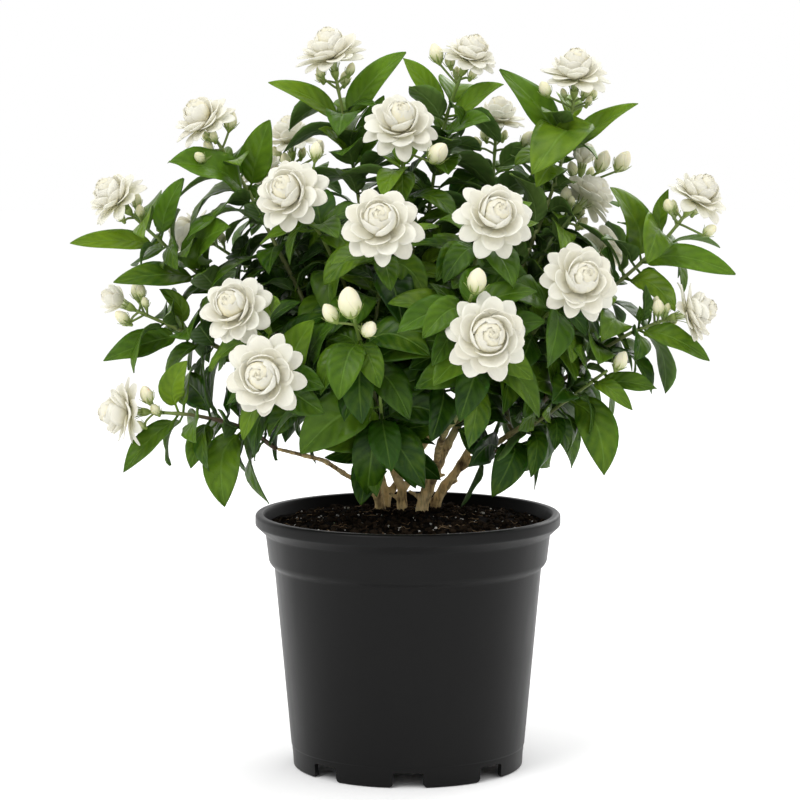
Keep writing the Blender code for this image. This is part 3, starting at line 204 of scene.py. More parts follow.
# Shoots: their stems, what they keep clear of and where their leaf pairs stand
SHOOT_BASE_RADIUS = 1.3
SHOOT_TIP_RADIUS = 0.85
SHOOT_STEP = 5.0
SHOOT_SPACE = 5.5
WOOD_SPACE = 3.2
HEAD_SPACE = 3.0
SPREAD_ROUNDS = 90
LIMB_SAMPLES = 40
STRAIGHTENING = 1.3
NODE_SPACE = 5.0
LOWEST_NODE = 8.0
END_SPACE = 2.0
NODE_SPACING = 27.0
FIRST_PAIR = 18.0
LOWEST_PAIR = 8.5
PAIR_SPACE = 8.0
BUD_DROP = 5.0
BUD_SPACING = 6.0
CALYX_LENGTH = 4.5

# Leaves: their size, solids' outlines as (share of length, share of width), and how room is sought
LEAF_LENGTH = 39.0
LEAF_WIDTH_SHARE = 0.52
STALK_LENGTH = 4.0
BLADE_OUTLINE = ((0.26, 0.94), (0.64, 0.8))
SHOWN_OUTLINE = ((0.17, 0.72), (0.44, 1.0), (0.76, 0.64))
BLADE_THICKNESS = 1.0
BLADE_FOLD = 0.22
LEAF_CLEARANCE = 0.45
BUD_CLEARANCE = 0.9
LEAF_TRIES = 14
LEAF_NUDGE = 0.7
LEAF_TWIST = 0.07
SIDES_TRIED = (0, 1, 3)
USUAL_FACING = (0.0, 0.75, 0.65)
BARE_BELOW_BLOOM = 13.0
LOWEST_LEAF = 131.0

# Blooms are shaped for the unit width and scaled, and those narrower than a limit are half open;
# a head's middle stands so far over its seat
UNIT_WIDTH = 40.0
HALF_OPEN_BELOW = 20
HEAD_CENTRE = 13.0
HALF_OPEN_HEAD_CENTRE = 24.0

# Leaves between the pairs that are part of the solids
FILL_START = 8.0
FILL_SPACING = 7.0
FILL_TOP = 11.0
FILL_TURN = 77.0
FILL_TRIES = 9
FILL_CLEARANCE = 0.2
FILL_AGE = 80.0

# Materials of a green piece, and the fine leaves
GREEN, STEM, CALYX = 0, 1, 2
LEAF_ACROSS = numpy.linspace(-1.0, 1.0, 9)
FILL_ACROSS = numpy.linspace(-1.0, 1.0, 7)
STALK_SHARES = (-1.0, -0.5)
BLADE_SHARES = (0.0, 0.03, 0.07, 0.13, 0.2, 0.28, 0.36, 0.44, 0.52,
                0.6, 0.68, 0.76, 0.83, 0.89, 0.94, 0.975, 1.0)
FILL_SHARES = (0.0, 0.04, 0.11, 0.2, 0.31, 0.43, 0.55, 0.67, 0.78, 0.87, 0.94, 1.0)
STALK_WIDTH = 0.6
LEAF_ARCH = 0.2
LEAF_THICKNESS = 0.4
BEND_SHARE = 0.36

# Buds, calyxes and stems
YOUNG_TRIES = 12
YOUNG_CLEARANCE = 0.8
# Young buds under a bloom: how far below the shoot's end and how many
YOUNG_BUDS = ((2.0, 2), (6.5, 1))
CALYX_CORNERS = 12
CALYX_TEETH = 9
TOOTH_LENGTH = 6.2
TOOTH_CIRCLE = 2.05
SEPAL_SHARES = (0.0, 0.25, 0.5, 0.75, 1.0)
SEPAL_ACROSS = (-1.0, 0.0, 1.0)
BUD_TEETH = 8
YOUNG_TEETH = 5
END_POINT = 4.0
CALYX_BELL = ((0.8, -0.6), (1.15, 0.3), (1.75, 1.4), (2.15, 2.8),
              (2.3, CALYX_LENGTH), (1.6, CALYX_LENGTH + 0.2))
# How brown a shoot is at its foot, where it differs from the rest
USUAL_BROWN = 0.75
STEM_BROWN = {"20": 3.2, "low_right": 1.2, "08": 1.6, "23": 1.6, "13": 1.3, "19": 1.5}
# A bud from its foot to its tip: share of its length, and radius as a share of the greatest
BUD_PROFILE = ((0.0, 0.40), (0.07, 0.60), (0.16, 0.78), (0.27, 0.93), (0.39, 1.0), (0.51, 0.98),
               (0.62, 0.89), (0.72, 0.79), (0.81, 0.64), (0.89, 0.45), (0.95, 0.27), (1.0, 0.05))
BUD_LENGTH = 1.45
BUD_RISE = 0.8
BUD_CORNERS = 30
YOUNG_CORNERS = 15

# Petals by whorl from the outside in: how many, then length, half width, foot radius and height,
# rise at the foot and at the tip in degrees, wrap about the axis, cup, lean and how pointed
OPEN_BLOOM_PETALS = (
    (9, (18.8, 5.0, 1.8, 5.0, 16.0, -20.0, 0.1, 0.20, 0.10, 0.5)),
    (8, (17.2, 5.6, 1.8, 6.3, 22.0, 12.0, 0.35, 0.20, 0.12, 0.4)),
    (6, (15.8, 6.8, 1.7, 7.4, 10.0, 66.0, 0.8, 0.06, 0.12, 0.3)),
    (5, (15.0, 7.2, 1.7, 8.2, 18.0, 102.0, 0.95, 0.0, 0.14, 0.2)),
)
OPEN_BLOOM_TUBE = ((1.5, -0.6), (1.7, 1.0), (1.9, 3.0), (2.4, 5.0),
                   (3.0, 6.4), (2.4, 8.5), (1.8, 12.0), (0.5, 15.0))
HALF_OPEN_PETALS = (
    (5, (25.0, 7.4, 3.2, 5.0, 34.0, 58.0, 0.8, 0.06, 0.12, 0.7)),
    (5, (29.0, 8.4, 3.0, 6.0, 38.0, 92.0, 1.0, 0.0, 0.12, 0.4)),
)
# The domed heart: how many petals, then for the outermost and for the innermost the dome's radius,
# the height of its middle, how tall it is for its width, where the tip ends in degrees from the
# axis and the half width, and last where all the petals start
OPEN_HEART = (10, (8.0, 15.9, 1.12, 48.0, 9.6), (3.0, 20.6, 1.3, 8.0, 5.0), 115.0)
HALF_OPEN_HEART = (9, (9.0, 21.0, 1.75, 40.0, 10.0), (4.0, 29.5, 1.6, 8.0, 6.0), 150.0)
HEART_TURN = 137.5
# The body that fills the heart: its rings in degrees from the axis, so far under the petals
CORE_CORNERS = 14
CORE_TILTS = (176, 150, 120, 90, 60, 35, 15, 3)
HEART_FILLING = 0.9
HEART_SHARES = (0.0, 0.2, 0.4, 0.57, 0.72, 0.84, 0.93, 1.0)
HALF_OPEN_TUBE = ((3.4, -0.6), (3.8, 1.0), (5.2, 3.0), (6.6, 6.0), (5.0, 9.0), (1.0, 10.0))
PETAL_ACROSS = numpy.linspace(-1.0, 1.0, 7)
PETAL_SHARES = (0.0, 0.15, 0.3, 0.45, 0.58, 0.7, 0.8, 0.89, 0.96, 1.0)
PETAL_THICKNESS = 0.5

# Bark, soil and pot
BARK_GRAIN = 0.75
STUB_SHARES = (0.0, 0.4, 0.75, 0.96, 1.0)
STUB_RADII = (1.5, 1.25, 1.1, 1.0, 0.5)
SOIL_FACETS = 96
SOIL_RINGS = 30
SOIL_EDGE_DIP = 1.6
# Crumbs on the soil: how many, least and greatest size, flatness and material
CRUMBS = (
    (1500, 0.5, 1.7, 0.8, 1),
    (70, 1.8, 3.0, 0.35, 1),
    (150, 0.25, 0.7, 0.9, 2),
    (40, 0.7, 1.3, 0.8, 2),
)
FIBRES = 90
FIBRE_POINTS = 6
FIBRE_RADIUS = 0.16
SEAM_HEIGHT = 9.6
POT_FACETS = 144
RIM_LIFT = 0.8
CORNER_ROUNDING = 0.75
NOTCH_FLARE = 2.4
NOTCH_CORNER = 1.4
# The dull inner wall is what lies above this height and inside this radius
INNER_WALL_FOOT = 119.5
INNER_WALL_RADIUS = 73.2

# Floor, light and camera
FLOOR_REACH = 6000.0
FLOOR_DROP = 0.2
WORLD_STRENGTH = 1.0
KEY_POWER = 14.0
TOP_POWER = 6.0
BACK_POWER = 9.0
CAMERA_PITCH = 6.27
LENS = 135.0


# Layout of the bush, the same as that of its solids

def place(across, up, forward):
    """The point that shows at (across, up) from the front and stands forward of the pot's axis."""
    share = forward / VIEW_DISTANCE
    return Vector((across + (VIEW_ACROSS - across) * share, -forward, up + (VIEW_HEIGHT - up) * share))


def facing(across, forward, up):
    return Vector((across, -forward, up)).normalized()


def square_to(way, axis):
    """The direction nearest to the way that is square to the axis."""
    return (way - axis * way.dot(axis)).normalized()


def around(axis, side, angle):
    """The sideways direction, turned about the axis."""
    return side * math.cos(angle) + axis.cross(side) * math.sin(angle)


def jitter(chance, size):
    return Vector([chance.uniform(-size, size) for _axis in range(3)])


def clipped(value):
    return min(max(value, 0.0), 1.0)


def inner_profile():
    """Inside of the pot, from the floor's middle to the rim, as (radius, height)."""
    return [
        (0.0, FLOOR_TOP),
        (FOOT_RADIUS - WALL - 1.0, FLOOR_TOP),
        (BODY_TOP_RADIUS - WALL, BODY_TOP - 0.5),
        (COLLAR_BOTTOM_RADIUS - WALL, COLLAR_BOTTOM - 0.5),
        (COLLAR_TOP_RADIUS - WALL, COLLAR_TOP + 1.0),
        (RIM_OPENING, POT_HEIGHT - 1.2),
        (RIM_OPENING + 0.9, POT_HEIGHT),
    ]


def outer_profile():
    """Outside of the pot, from the rim down to the foot and in under the floor."""
    body_slope = (BODY_TOP_RADIUS - FOOT_RADIUS) / BODY_TOP
    seat = FOOT_RADIUS + body_slope * FLOOR_UNDERSIDE
    return [
        (RIM_RADIUS - 1.0, POT_HEIGHT),
        (RIM_RADIUS, POT_HEIGHT - 1.0),
        (RIM_RADIUS, POT_HEIGHT - RIM_DROP + 0.7),
        (RIM_RADIUS - 0.7, POT_HEIGHT - RIM_DROP),
        (COLLAR_TOP_RADIUS, COLLAR_TOP),
        (COLLAR_BOTTOM_RADIUS, COLLAR_BOTTOM),
        (COLLAR_BOTTOM_RADIUS - 0.8, COLLAR_BOTTOM - 1.6),
        (BODY_TOP_RADIUS, BODY_TOP),
        (seat, FLOOR_UNDERSIDE + 0.4),
        (FOOT_RADIUS, 0.0),
        (FOOT_RADIUS - WALL - 0.6, 0.0),
        (seat - WALL - 0.6, FLOOR_UNDERSIDE),
        (0.0, FLOOR_UNDERSIDE),
    ]


def prism(centre, radius, bottom, top, sides):
    """An upright prism with a regular section."""
    bm = bmesh.new()
    bmesh.ops.create_cone(bm, cap_ends=True, segments=sides, radius1=radius, radius2=radius,
                          depth=top - bottom)
    bmesh.ops.translate(bm, vec=(centre[0], centre[1], (top + bottom) / 2), verts=bm.verts)
    return bm


def soil_height(x, y):
    """Height of the uneven soil, heaped a little at the root ball."""
    distance = math.hypot(x, y + 6.0) / 68.0
    heap = SOIL_EDGE + (SOIL_CROWN - SOIL_EDGE) * max(0.0, 1.0 - distance * distance)
    bumps = math.sin(0.21 * x + 1.3) * math.cos(0.19 * y + 0.4) + 0.6 * math.sin(0.43 * x - 0.37 * y)
    return heap + SOIL_ROUGHNESS * 0.5 * bumps


def limb_points(key):
    """The limb's middle line; its root part stands upright in the soil."""
    points = [place(*entry[:3]) for entry in LIMBS[key]]
    if LIMBS[key][0][1] < SOIL_EDGE:
        points[0].x = points[1].x
        points[0].y = points[1].y
        points[0].z = SOIL_CROWN - ROOT_DEPTH
        points[1].z = SOIL_CROWN + 2.5
    return points


def carried_frames(points, side):
    """Tangent and a sideways vector at each point, carried along the line without twisting."""
    frames = []
    for number in range(len(points)):
        before = points[max(number - 1, 0)]
        after = points[min(number + 1, len(points) - 1)]
        tangent = (after - before).normalized()
        side = square_to(side, tangent)
        frames.append((tangent, side))
    return frames


def corner_ring(centre, tangent, side, radius, corners):
    """Corners of a regular section about the centre, square to the tangent."""
    return [centre + around(tangent, side, math.tau * number / corners) * radius for number in range(corners)]


def tube_rings(points, radii, corners, side):
    """Sections square to a line through the points."""
    frames = carried_frames(points, side)
    return [corner_ring(point, tangent, side, radius, corners)
            for point, radius, (tangent, side) in zip(points, radii, frames)]


def limb_at(key, share):
    """Point, tangent and radius at a share of the limb's length."""
    points = limb_points(key)
    lengths = [(after - before).length for before, after in zip(points, points[1:])]
    wanted = share * sum(lengths)
    for number, length in enumerate(lengths):
        if wanted <= length or number == len(lengths) - 1:
            part = min(wanted / length, 1.0)
            point = points[number].lerp(points[number + 1], part)
            tangent = (points[number + 1] - points[number]).normalized()
            radius = LIMBS[key][number][3] * (1 - part) + LIMBS[key][number + 1][3] * part
            return point, tangent, radius
        wanted -= length


def node_lists(name):
    """Points, in millimetres, and faces of a node of the frame."""
    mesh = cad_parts[name].data
    return [vert.co / MM for vert in mesh.vertices], [list(face.vertices) for face in mesh.polygons]


def box_of(points):
    return [[choose(point[axis] for point in points) for axis in range(3)] for choose in (min, max)]


class Surroundings:
    """Everything placed so far, to test whether a new part would touch it."""

    def __init__(self):
        self.items = []

    def add(self, points, faces):
        self.items.append((BVHTree.FromPolygons(points, faces), *box_of(points)))

    def touches(self, points, faces):
        low, high = box_of(points)
        tree = None
        for other, other_low, other_high in self.items:
            if any(low[axis] > other_high[axis] or high[axis] < other_low[axis] for axis in range(3)):
                continue
            if tree is None:
                tree = BVHTree.FromPolygons(points, faces)
            if tree.overlap(other):
                return True
        return False

    def stops(self, lists):
        """Whether a growth would touch another part or cross itself."""
        if self.touches(*lists):
            return True
        tree = BVHTree.FromPolygons(*lists)
        faces = lists[1]
        return any(not set(faces[one]) & set(faces[other]) for one, other in tree.overlap(tree))


def mesh_lists(bm):
    """Points and faces of a mesh that is needed for nothing else."""
    bm.verts.index_update()
    points = [vert.co.copy() for vert in bm.verts]
    faces = [[vert.index for vert in face.verts] for face in bm.faces]
    bm.free()
    return points, faces


def half_open(key):
    return BLOOMS[key][1] < HALF_OPEN_BELOW


def bloom_seat(key):
    """Where the bloom's tube stands on its calyx."""
    spot, width, way, _limb, _share = BLOOMS[key]
    centre_height = HALF_OPEN_HEAD_CENTRE if half_open(key) else HEAD_CENTRE
    return place(*spot) - facing(*way) * (centre_height * width / UNIT_WIDTH)


def shoot_start(limb, share, toward):
    """Start point and direction of a shoot, just off the limb that it grows from."""
    point, tangent, radius = limb_at(limb, share)
    if share >= 1.0:
        return point + tangent * GAP, tangent
    outward = square_to(toward - point, tangent)
    return point + outward * (radius + GAP), outward


def curve_points(start, start_way, end, end_way, pull):
    """Evenly spaced points on a smooth curve from the start to the end."""
    length = (end - start).length
    controls = (start, start + start_way * length * pull, end - end_way * length * 0.34, end)
    count = max(6, round(1.08 * length / SHOOT_STEP))
    points = []
    for number in range(count + 1):
        t = number / count
        weights = ((1 - t) ** 3, 3 * t * (1 - t) ** 2, 3 * t * t * (1 - t), t ** 3)
        points.append(sum((control * weight for control, weight in zip(controls, weights)), Vector()))
    return points


def draw_routes():
    """First routes of all the shoots, from their limbs to their blooms."""
    routes = {}
    for key, (_spot, _width, way, limb, share) in BLOOMS.items():
        axis = facing(*way)
        end = bloom_seat(key) - axis * (GAP + CALYX_LENGTH)
        start, start_way = shoot_start(limb, share, end)
        rising = (start_way + Vector((0.0, 0.0, 0.7))).normalized()
        points = curve_points(start, rising, end, axis, 0.3)
        points[1] = start + (start_way * 0.7 + rising * 0.3).normalized() * 2.5
        points[-2] = end - axis * SHOOT_STEP * 0.8
        routes[key] = points
    for key, (spot, limb, share, _bud) in LEAFY.items():
        end = place(*spot)
        start, start_way = shoot_start(limb, share, end)
        routes[key] = curve_points(start, start_way, end, (end - start).normalized(), 0.25)
    return routes


def push_clear(now, others, reach, allowed, strength):
    """How each point is pushed away from the others that it may not come within reach of."""
    between = now[:, None, :] - others[None, :, :]
    distance = numpy.linalg.norm(between, axis=2) + 1e-6
    lack = numpy.where(allowed, numpy.clip(reach - distance, 0, None), 0)
    return numpy.sum(between / distance[:, :, None] * lack[:, :, None], axis=1) * strength


def spread(routes):
    """Bends the routes clear of each other, of the limbs and of the other shoots' blooms."""
    keys = list(routes)
    first = numpy.array([tuple(point) for key in keys for point in routes[key]])
    owner = numpy.array([number for number, key in enumerate(keys) for _point in routes[key]])
    ends = numpy.cumsum([len(routes[key]) for key in keys])
    held = numpy.zeros(len(first), bool)
    heads = []
    for number, (key, end) in enumerate(zip(keys, ends)):
        start = end - len(routes[key])
        held[start:start + 3] = True
        if key in BLOOMS:
            held[end - 2:end] = True
            _spot, width, way, _limb, _share = BLOOMS[key]
            centre = bloom_seat(key) + facing(*way) * (HEAD_CENTRE * width / UNIT_WIDTH)
            heads.append((*centre, 0.5 * width, number))
    heads = numpy.array(heads)
    wood = []
    for limb in LIMBS:
        for number in range(LIMB_SAMPLES + 1):
            point, _tangent, radius = limb_at(limb, number / LIMB_SAMPLES)
            wood.append((*point, radius))
    wood = numpy.array(wood)
    moved = numpy.zeros_like(first)
    for _round in range(SPREAD_ROUNDS):
        now = first + moved
        push = push_clear(now, now, SHOOT_SPACE, owner[:, None] != owner[None, :], 0.4)
        push += push_clear(now, wood[:, :3], wood[None, :, 3] + WOOD_SPACE, True, 0.3)
        foreign = owner[:, None] != heads[None, :, 4]
        push += push_clear(now, heads[:, :3], heads[None, :, 3] + HEAD_SPACE, foreign, 0.5)
        push[held] = 0.0
        moved += push
        smooth = moved.copy()
        smooth[1:-1] = 0.5 * moved[1:-1] + 0.25 * (moved[:-2] + moved[2:])
        smooth[held] = 0.0
        moved = smooth
    bent = numpy.split(first + moved, ends[:-1])
    return {key: [Vector(row) for row in rows] for key, rows in zip(keys, bent)}


def straightened(points, tolerance):
    """The fewest of the points that keep the line within the tolerance."""
    first, last = points[0], points[-1]
    along = (last - first).normalized()
    offsets = [((point - first) - along * (point - first).dot(along)).length for point in points]
    widest = max(range(len(points)), key=lambda number: offsets[number])
    if offsets[widest] < tolerance:
        return [first, last]
    return straightened(points[:widest + 1], tolerance)[:-1] + straightened(points[widest:], tolerance)


class Route:
    """A shoot's middle line, with its frame at any distance from the start."""

    def __init__(self, points):
        self.points = points
        self.frames = carried_frames(points, (points[1] - points[0]).orthogonal())
        self.marks = [0.0]
        for before, after in zip(points, points[1:]):
            self.marks.append(self.marks[-1] + (after - before).length)
        self.length = self.marks[-1]

    def at(self, distance):
        """Point, tangent and sideways direction at a distance from the start."""
        distance = min(max(distance, 0.0), self.length)
        number = max(index for index, mark in enumerate(self.marks[:-1]) if mark <= distance)
        part = (distance - self.marks[number]) / (self.marks[number + 1] - self.marks[number])
        point = self.points[number].lerp(self.points[number + 1], part)
        tangent = self.frames[number][0].lerp(self.frames[number + 1][0], part).normalized()
        side = self.frames[number][1].lerp(self.frames[number + 1][1], part)
        return point, tangent, square_to(side, tangent)

    def radius(self, distance):
        share = distance / self.length
        return SHOOT_BASE_RADIUS + (SHOOT_TIP_RADIUS - SHOOT_BASE_RADIUS) * share


def bent_line(start, bend, end, share):
    """Point and direction at a share of a line that bends toward the middle point."""
    first = start.lerp(bend, share)
    second = bend.lerp(end, share)
    return first.lerp(second, share), (second - first).normalized()


def leaf_sections(stalk_end, start_way, tip, half_width, face_way, outline, swell=0.0):
    """Four-cornered sections (left edge, underside, right edge, top) and the blade's tip."""
    length = (tip - stalk_end).length
    bend = stalk_end + start_way * length * BEND_SHARE
    sections = []
    for share, width in ((0.0, 0.0),) + outline:
        point, along = bent_line(stalk_end, bend, tip, share)
        normal = square_to(face_way, along)
        side = along.cross(normal)
        if share == 0.0:
            edge, thick, rise = 0.75 + swell, 0.55 + swell, Vector()
        else:
            edge = half_width * width + swell
            thick = BLADE_THICKNESS / 2 + swell
            rise = normal * (half_width * width * BLADE_FOLD)
        sections.append((point - side * edge + rise, point - normal * thick,
                         point + side * edge + rise, point + normal * thick))
    if swell:
        tip = tip + (tip - bend).normalized() * swell
    return sections, tip


def bud_sections(stalk_end, centre, width):
    """Sections of a pointed bud on its stalk, and its tip."""
    along = (centre - stalk_end).normalized()
    side = along.orthogonal().normalized()
    length = 1.35 * width
    sections = [
        corner_ring(centre - along * length * 0.5, along, side, 0.75, 4),
        corner_ring(centre - along * length * 0.05, along, side, width * 0.56, 4),
    ]
    return sections, centre + along * length * 0.5


def growth_lists(sections, tip):
    """Points and triangles of a growth that isn't joined to a stem, for clearance tests."""
    points = [corner for section in sections for corner in section] + [tip]
    faces = []
    for number in range(len(sections) - 1):
        for corner in range(4):
            low, high = 4 * number + corner, 4 * number + (corner + 1) % 4
            faces += split_panel(low, high, high + 4, low + 4, corner)
    last = 4 * (len(sections) - 1)
    for corner in range(4):
        faces.append((last + corner, last + (corner + 1) % 4, len(points) - 1))
    faces.append((0, 1, 2, 3))
    return points, faces


def split_panel(low, high, high_next, low_next, corner):
    """Two triangles, split from the blade's edge inward on the top and the underside alike."""
    if corner % 2 == 0:
        return [(low, high, high_next), (low, high_next, low_next)]
    return [(low, high, low_next), (high, high_next, low_next)]


class Shoot:
    """One green shoot: its route and the leaves and buds at its nodes."""

    def __init__(self, key, points, surroundings):
        self.key = key
        self.route = Route(points)
        self.surroundings = surroundings
        self.middle = place(*BUSH_MIDDLE)
        self.nodes = []
        self.young = []
        self.fill = []
        self.chance = random.Random("shoot" + key)

    def node_near(self, distance):
        """The node at a distance from the shoot's start, made if there is room for it."""
        for node in self.nodes:
            if abs(node["at"] - distance) < NODE_SPACE:
                return node
        if distance < LOWEST_NODE or distance > self.route.length - END_SPACE:
            return None
        node = {"at": distance, "turn": None, "growths": {}}
        self.nodes.append(node)
        self.nodes.sort(key=lambda entry: entry["at"])
        return node

    def turn_toward(self, node, way):
        """Turns a bare node so that one of its sides faces the way given; returns the nearest side."""
        _point, tangent, side = self.route.at(node["at"])
        across = tangent.cross(side)
        angle = math.atan2(way.dot(across), way.dot(side))
        if node["turn"] is None:
            node["turn"] = math.remainder(angle, math.pi / 2)
        return round((angle - node["turn"]) / (math.pi / 2)) % 4

    def side_way(self, node, number):
        point, tangent, side = self.route.at(node["at"])
        return point, tangent, around(tangent, side, node["turn"] + number * math.pi / 2)

    def root_section(self, node, number, off, section):
        """The growth's section just off the stem, its corners turned to meet the next section."""
        point, tangent, outward = self.side_way(node, number)
        start = point + outward * (self.route.radius(node["at"]) + off)
        side = outward.cross(tangent)
        ring = [start + tangent * 0.9, start - side * 0.9, start - tangent * 0.9, start + side * 0.9]
        orders = [order[shift:] + order[:shift] for order in (ring, ring[::-1]) for shift in range(4)]
        return min(orders, key=lambda order: sum((a - b).length for a, b in zip(order, section)))

    def try_growth(self, node, number, values, solid, swollen):
        """Keeps the growth, as its kind and values, if its solid clears everything placed before it."""
        root = self.root_section(node, number, 1.3, swollen[0][0])
        if self.surroundings.stops(growth_lists([root] + swollen[0], swollen[1])):
            return False
        node["growths"][number] = values
        root = self.root_section(node, number, 0.3, solid[0][0])
        self.surroundings.add(*growth_lists([root] + solid[0], solid[1]))
        return True

    def stalk(self, node, number, reach, lift):
        point, tangent, outward = self.side_way(node, number)
        way = (outward + tangent * lift).normalized()
        return point + outward * self.route.radius(node["at"]) + way * reach, way

    def add_leaf(self, node, number, tip, width_share, face_way, outline):
        if number in node["growths"]:
            return False
        stalk_end, way = self.stalk(node, number, STALK_LENGTH, 0.6)
        half_width = 0.5 * width_share * (tip - stalk_end).length
        blade = (stalk_end, way, tip, half_width, face_way, outline)
        swollen = leaf_sections(*blade, swell=LEAF_CLEARANCE)
        return self.try_growth(node, number, ("leaf", blade), leaf_sections(*blade), swollen)

    def add_bud(self, node, number, centre, width):
        if number in node["growths"]:
            return False
        stalk_end, _way = self.stalk(node, number, 1.0, 0.8)
        bud = (stalk_end, centre, width)
        swollen = bud_sections(stalk_end, centre, width + BUD_CLEARANCE)
        return self.try_growth(node, number, ("bud", bud), bud_sections(*bud), swollen)


def place_shown_growths(shoots):
    """Buds and the leaves whose tips are given."""
    for key, buds in BUDS.items():
        shoot = shoots[key]
        for number, (spot, width) in enumerate(buds):
            centre = place(*spot)
            node = shoot.node_near(shoot.route.length - BUD_DROP - BUD_SPACING * (number // 2))
            side = shoot.turn_toward(node, centre - shoot.route.at(node["at"])[0])
            any(shoot.add_bud(node, (side + more) % 4, centre, width) for more in SIDES_TRIED)
    for key, leaves in LEAVES.items():
        shoot = shoots[key]
        for drop, spot, width_share, way in leaves:
            node = shoot.node_near(shoot.route.length - drop)
            if node:
                face_way = facing(*(way or USUAL_FACING))
                place_leaf_at(shoot, node, place(*spot), width_share, face_way)


def place_leaf_at(shoot, node, tip, width_share, face_way):
    """A leaf to the tip given, nudged until it clears its neighbours."""
    side = shoot.turn_toward(node, tip - shoot.route.at(node["at"])[0])
    for attempt in range(LEAF_TRIES):
        shift = jitter(shoot.chance, 1.0) * (LEAF_NUDGE * attempt)
        twist = jitter(shoot.chance, 1.0) * (LEAF_TWIST * attempt)
        leaf = (tip + shift, width_share, face_way + twist, SHOWN_OUTLINE)
        if any(shoot.add_leaf(node, (side + more) % 4, *leaf) for more in SIDES_TRIED):
            return


def place_ruled_leaves(shoots):
    """Leaf pairs down every shoot, each pair crosswise to the last, where there is room."""
    waiting = []
    for shoot in shoots.values():
        at = shoot.route.length - FIRST_PAIR
        pair = 0
        while at > LOWEST_PAIR:
            if all(abs(node["at"] - at) > PAIR_SPACE for node in shoot.nodes):
                waiting.append((shoot, at, pair))
            at -= NODE_SPACING
            pair += 1
    waiting.sort(key=lambda entry: -(entry[0].route.at(entry[1])[0] - entry[0].middle).length)
    for shoot, at, pair in waiting:
        node = shoot.node_near(at)
        if node is None:
            continue
        point, tangent, _side = shoot.route.at(node["at"])
        outward = square_to(point - shoot.middle, tangent)
        if node["turn"] is None:
            shoot.turn_toward(node, outward if pair % 2 else tangent.cross(outward))
    for shoot in shoots.values():
        for node in shoot.nodes:
            if shoot.key not in BLOOMS or shoot.route.length - node["at"] >= BARE_BELOW_BLOOM:
                fill_node(shoot, node)


def fill_node(shoot, node):
    """A pair of leaves at a node, or the second leaf of a pair."""
    chance = shoot.chance
    if node["turn"] is None:
        shoot.turn_toward(node, Vector((1.0, 0.0, 0.0)))
    taken = list(node["growths"])
    sides = [(taken[0] + 2) % 4] if taken else [0, 2]
    if len(taken) > 1:
        return
    below_top = shoot.route.length - node["at"]
    for side in sides:
        for attempt in range(LEAF_TRIES):
            point, tangent, outward = shoot.side_way(node, side)
            length = LEAF_LENGTH * min(1.0, 0.74 + 0.006 * below_top) * chance.uniform(0.88, 1.12)
            length *= 1.0 - 0.022 * attempt
            swing = chance.uniform(-1, 1) * (0.15 + 0.05 * attempt)
            rise = chance.uniform(0.0, 0.6)
            way = outward + tangent.cross(outward) * swing + tangent * rise
            way = (way.normalized() + Vector((0, 0, chance.uniform(-0.55, 0.05)))).normalized()
            tip = point + way * length
            if tip.z < LOWEST_LEAF:
                continue
            away = (tip - shoot.middle).normalized()
            face_way = Vector((0, 0, 0.5)) + away * 0.9 + jitter(chance, 0.3)
            width_share = LEAF_WIDTH_SHARE * chance.uniform(0.9, 1.12)
            if shoot.add_leaf(node, side, tip, width_share, face_way, BLADE_OUTLINE):
                break


def end_bud(shoot):
    """The bud that ends a shoot without a bloom."""
    point, tangent, _side = shoot.route.at(shoot.route.length)
    width = LEAFY[shoot.key][3]
    return point, point + tangent * (1.3 * width), width


def bare_stem_lists(shoot):
    """Points and triangles of a plain tube along the whole shoot."""
    points = list(shoot.route.points)
    if shoot.key not in BLOOMS:
        points.append(points[-1] + (points[-1] - points[-2]).normalized() * END_POINT)
    radius = shoot.route.radius(0.0) + 0.3
    rings = tube_rings(points, [radius] * len(points), 4, Vector((1.0, 0.0, 0.0)))
    faces = [(3, 2, 1, 0)]
    for first in range(0, 4 * len(rings) - 4, 4):
        for number in range(4):
            low, high = first + number, first + (number + 1) % 4
            faces += [(low, high, high + 4), (low, high + 4, low + 4)]
    last = 4 * len(rings) - 4
    faces.append((last, last + 1, last + 2, last + 3))
    return [corner for ring in rings for corner in ring], faces


def lay_out():
    """Routes all the shoots and places their leaves and buds clear of everything else."""
    surroundings = Surroundings()
    surroundings.add(*mesh_lists(prism((0.0, 0.0), RIM_RADIUS + 1.0, 0.0, POT_HEIGHT + 1.2, POT_SIDES)))
    for name in LIMB_GROUPS:
        surroundings.add(*node_lists(name))
    for key in BLOOMS:
        surroundings.add(*node_lists("bloom_" + key))
    shoots = {}
    for key, points in spread(draw_routes()).items():
        shoots[key] = Shoot(key, points[:1] + straightened(points[1:], STRAIGHTENING), surroundings)
    for key, shoot in shoots.items():
        surroundings.add(*bare_stem_lists(shoot))
        if key in LEAFY and LEAFY[key][3]:
            surroundings.add(*growth_lists(*bud_sections(*end_bud(shoot))))
    place_shown_growths(shoots)
    place_ruled_leaves(shoots)
    for key in BLOOMS:
        shoots[key].young = young_buds(shoots[key])
    for shoot in shoots.values():
        shoot.fill = fill_leaves(shoot)
    return shoots


# Leaves that fill the bush between the leaf pairs that are part of the solids

def fill_leaves(shoot):
    """Smaller leaves on the stem between the pairs, wherever one finds room."""
    chance = random.Random("fill" + shoot.key)
    at = FILL_START
    turn = chance.uniform(0.0, math.tau)
    leaves = []
    while at < shoot.route.length - FILL_TOP:
        for half in (0.0, math.pi):
            leaf = try_fill_leaf(shoot, at, turn + half, chance)
            if leaf:
                leaves.append(leaf)
        turn += math.radians(FILL_TURN)
        at += FILL_SPACING * chance.uniform(0.9, 1.1)
    return leaves


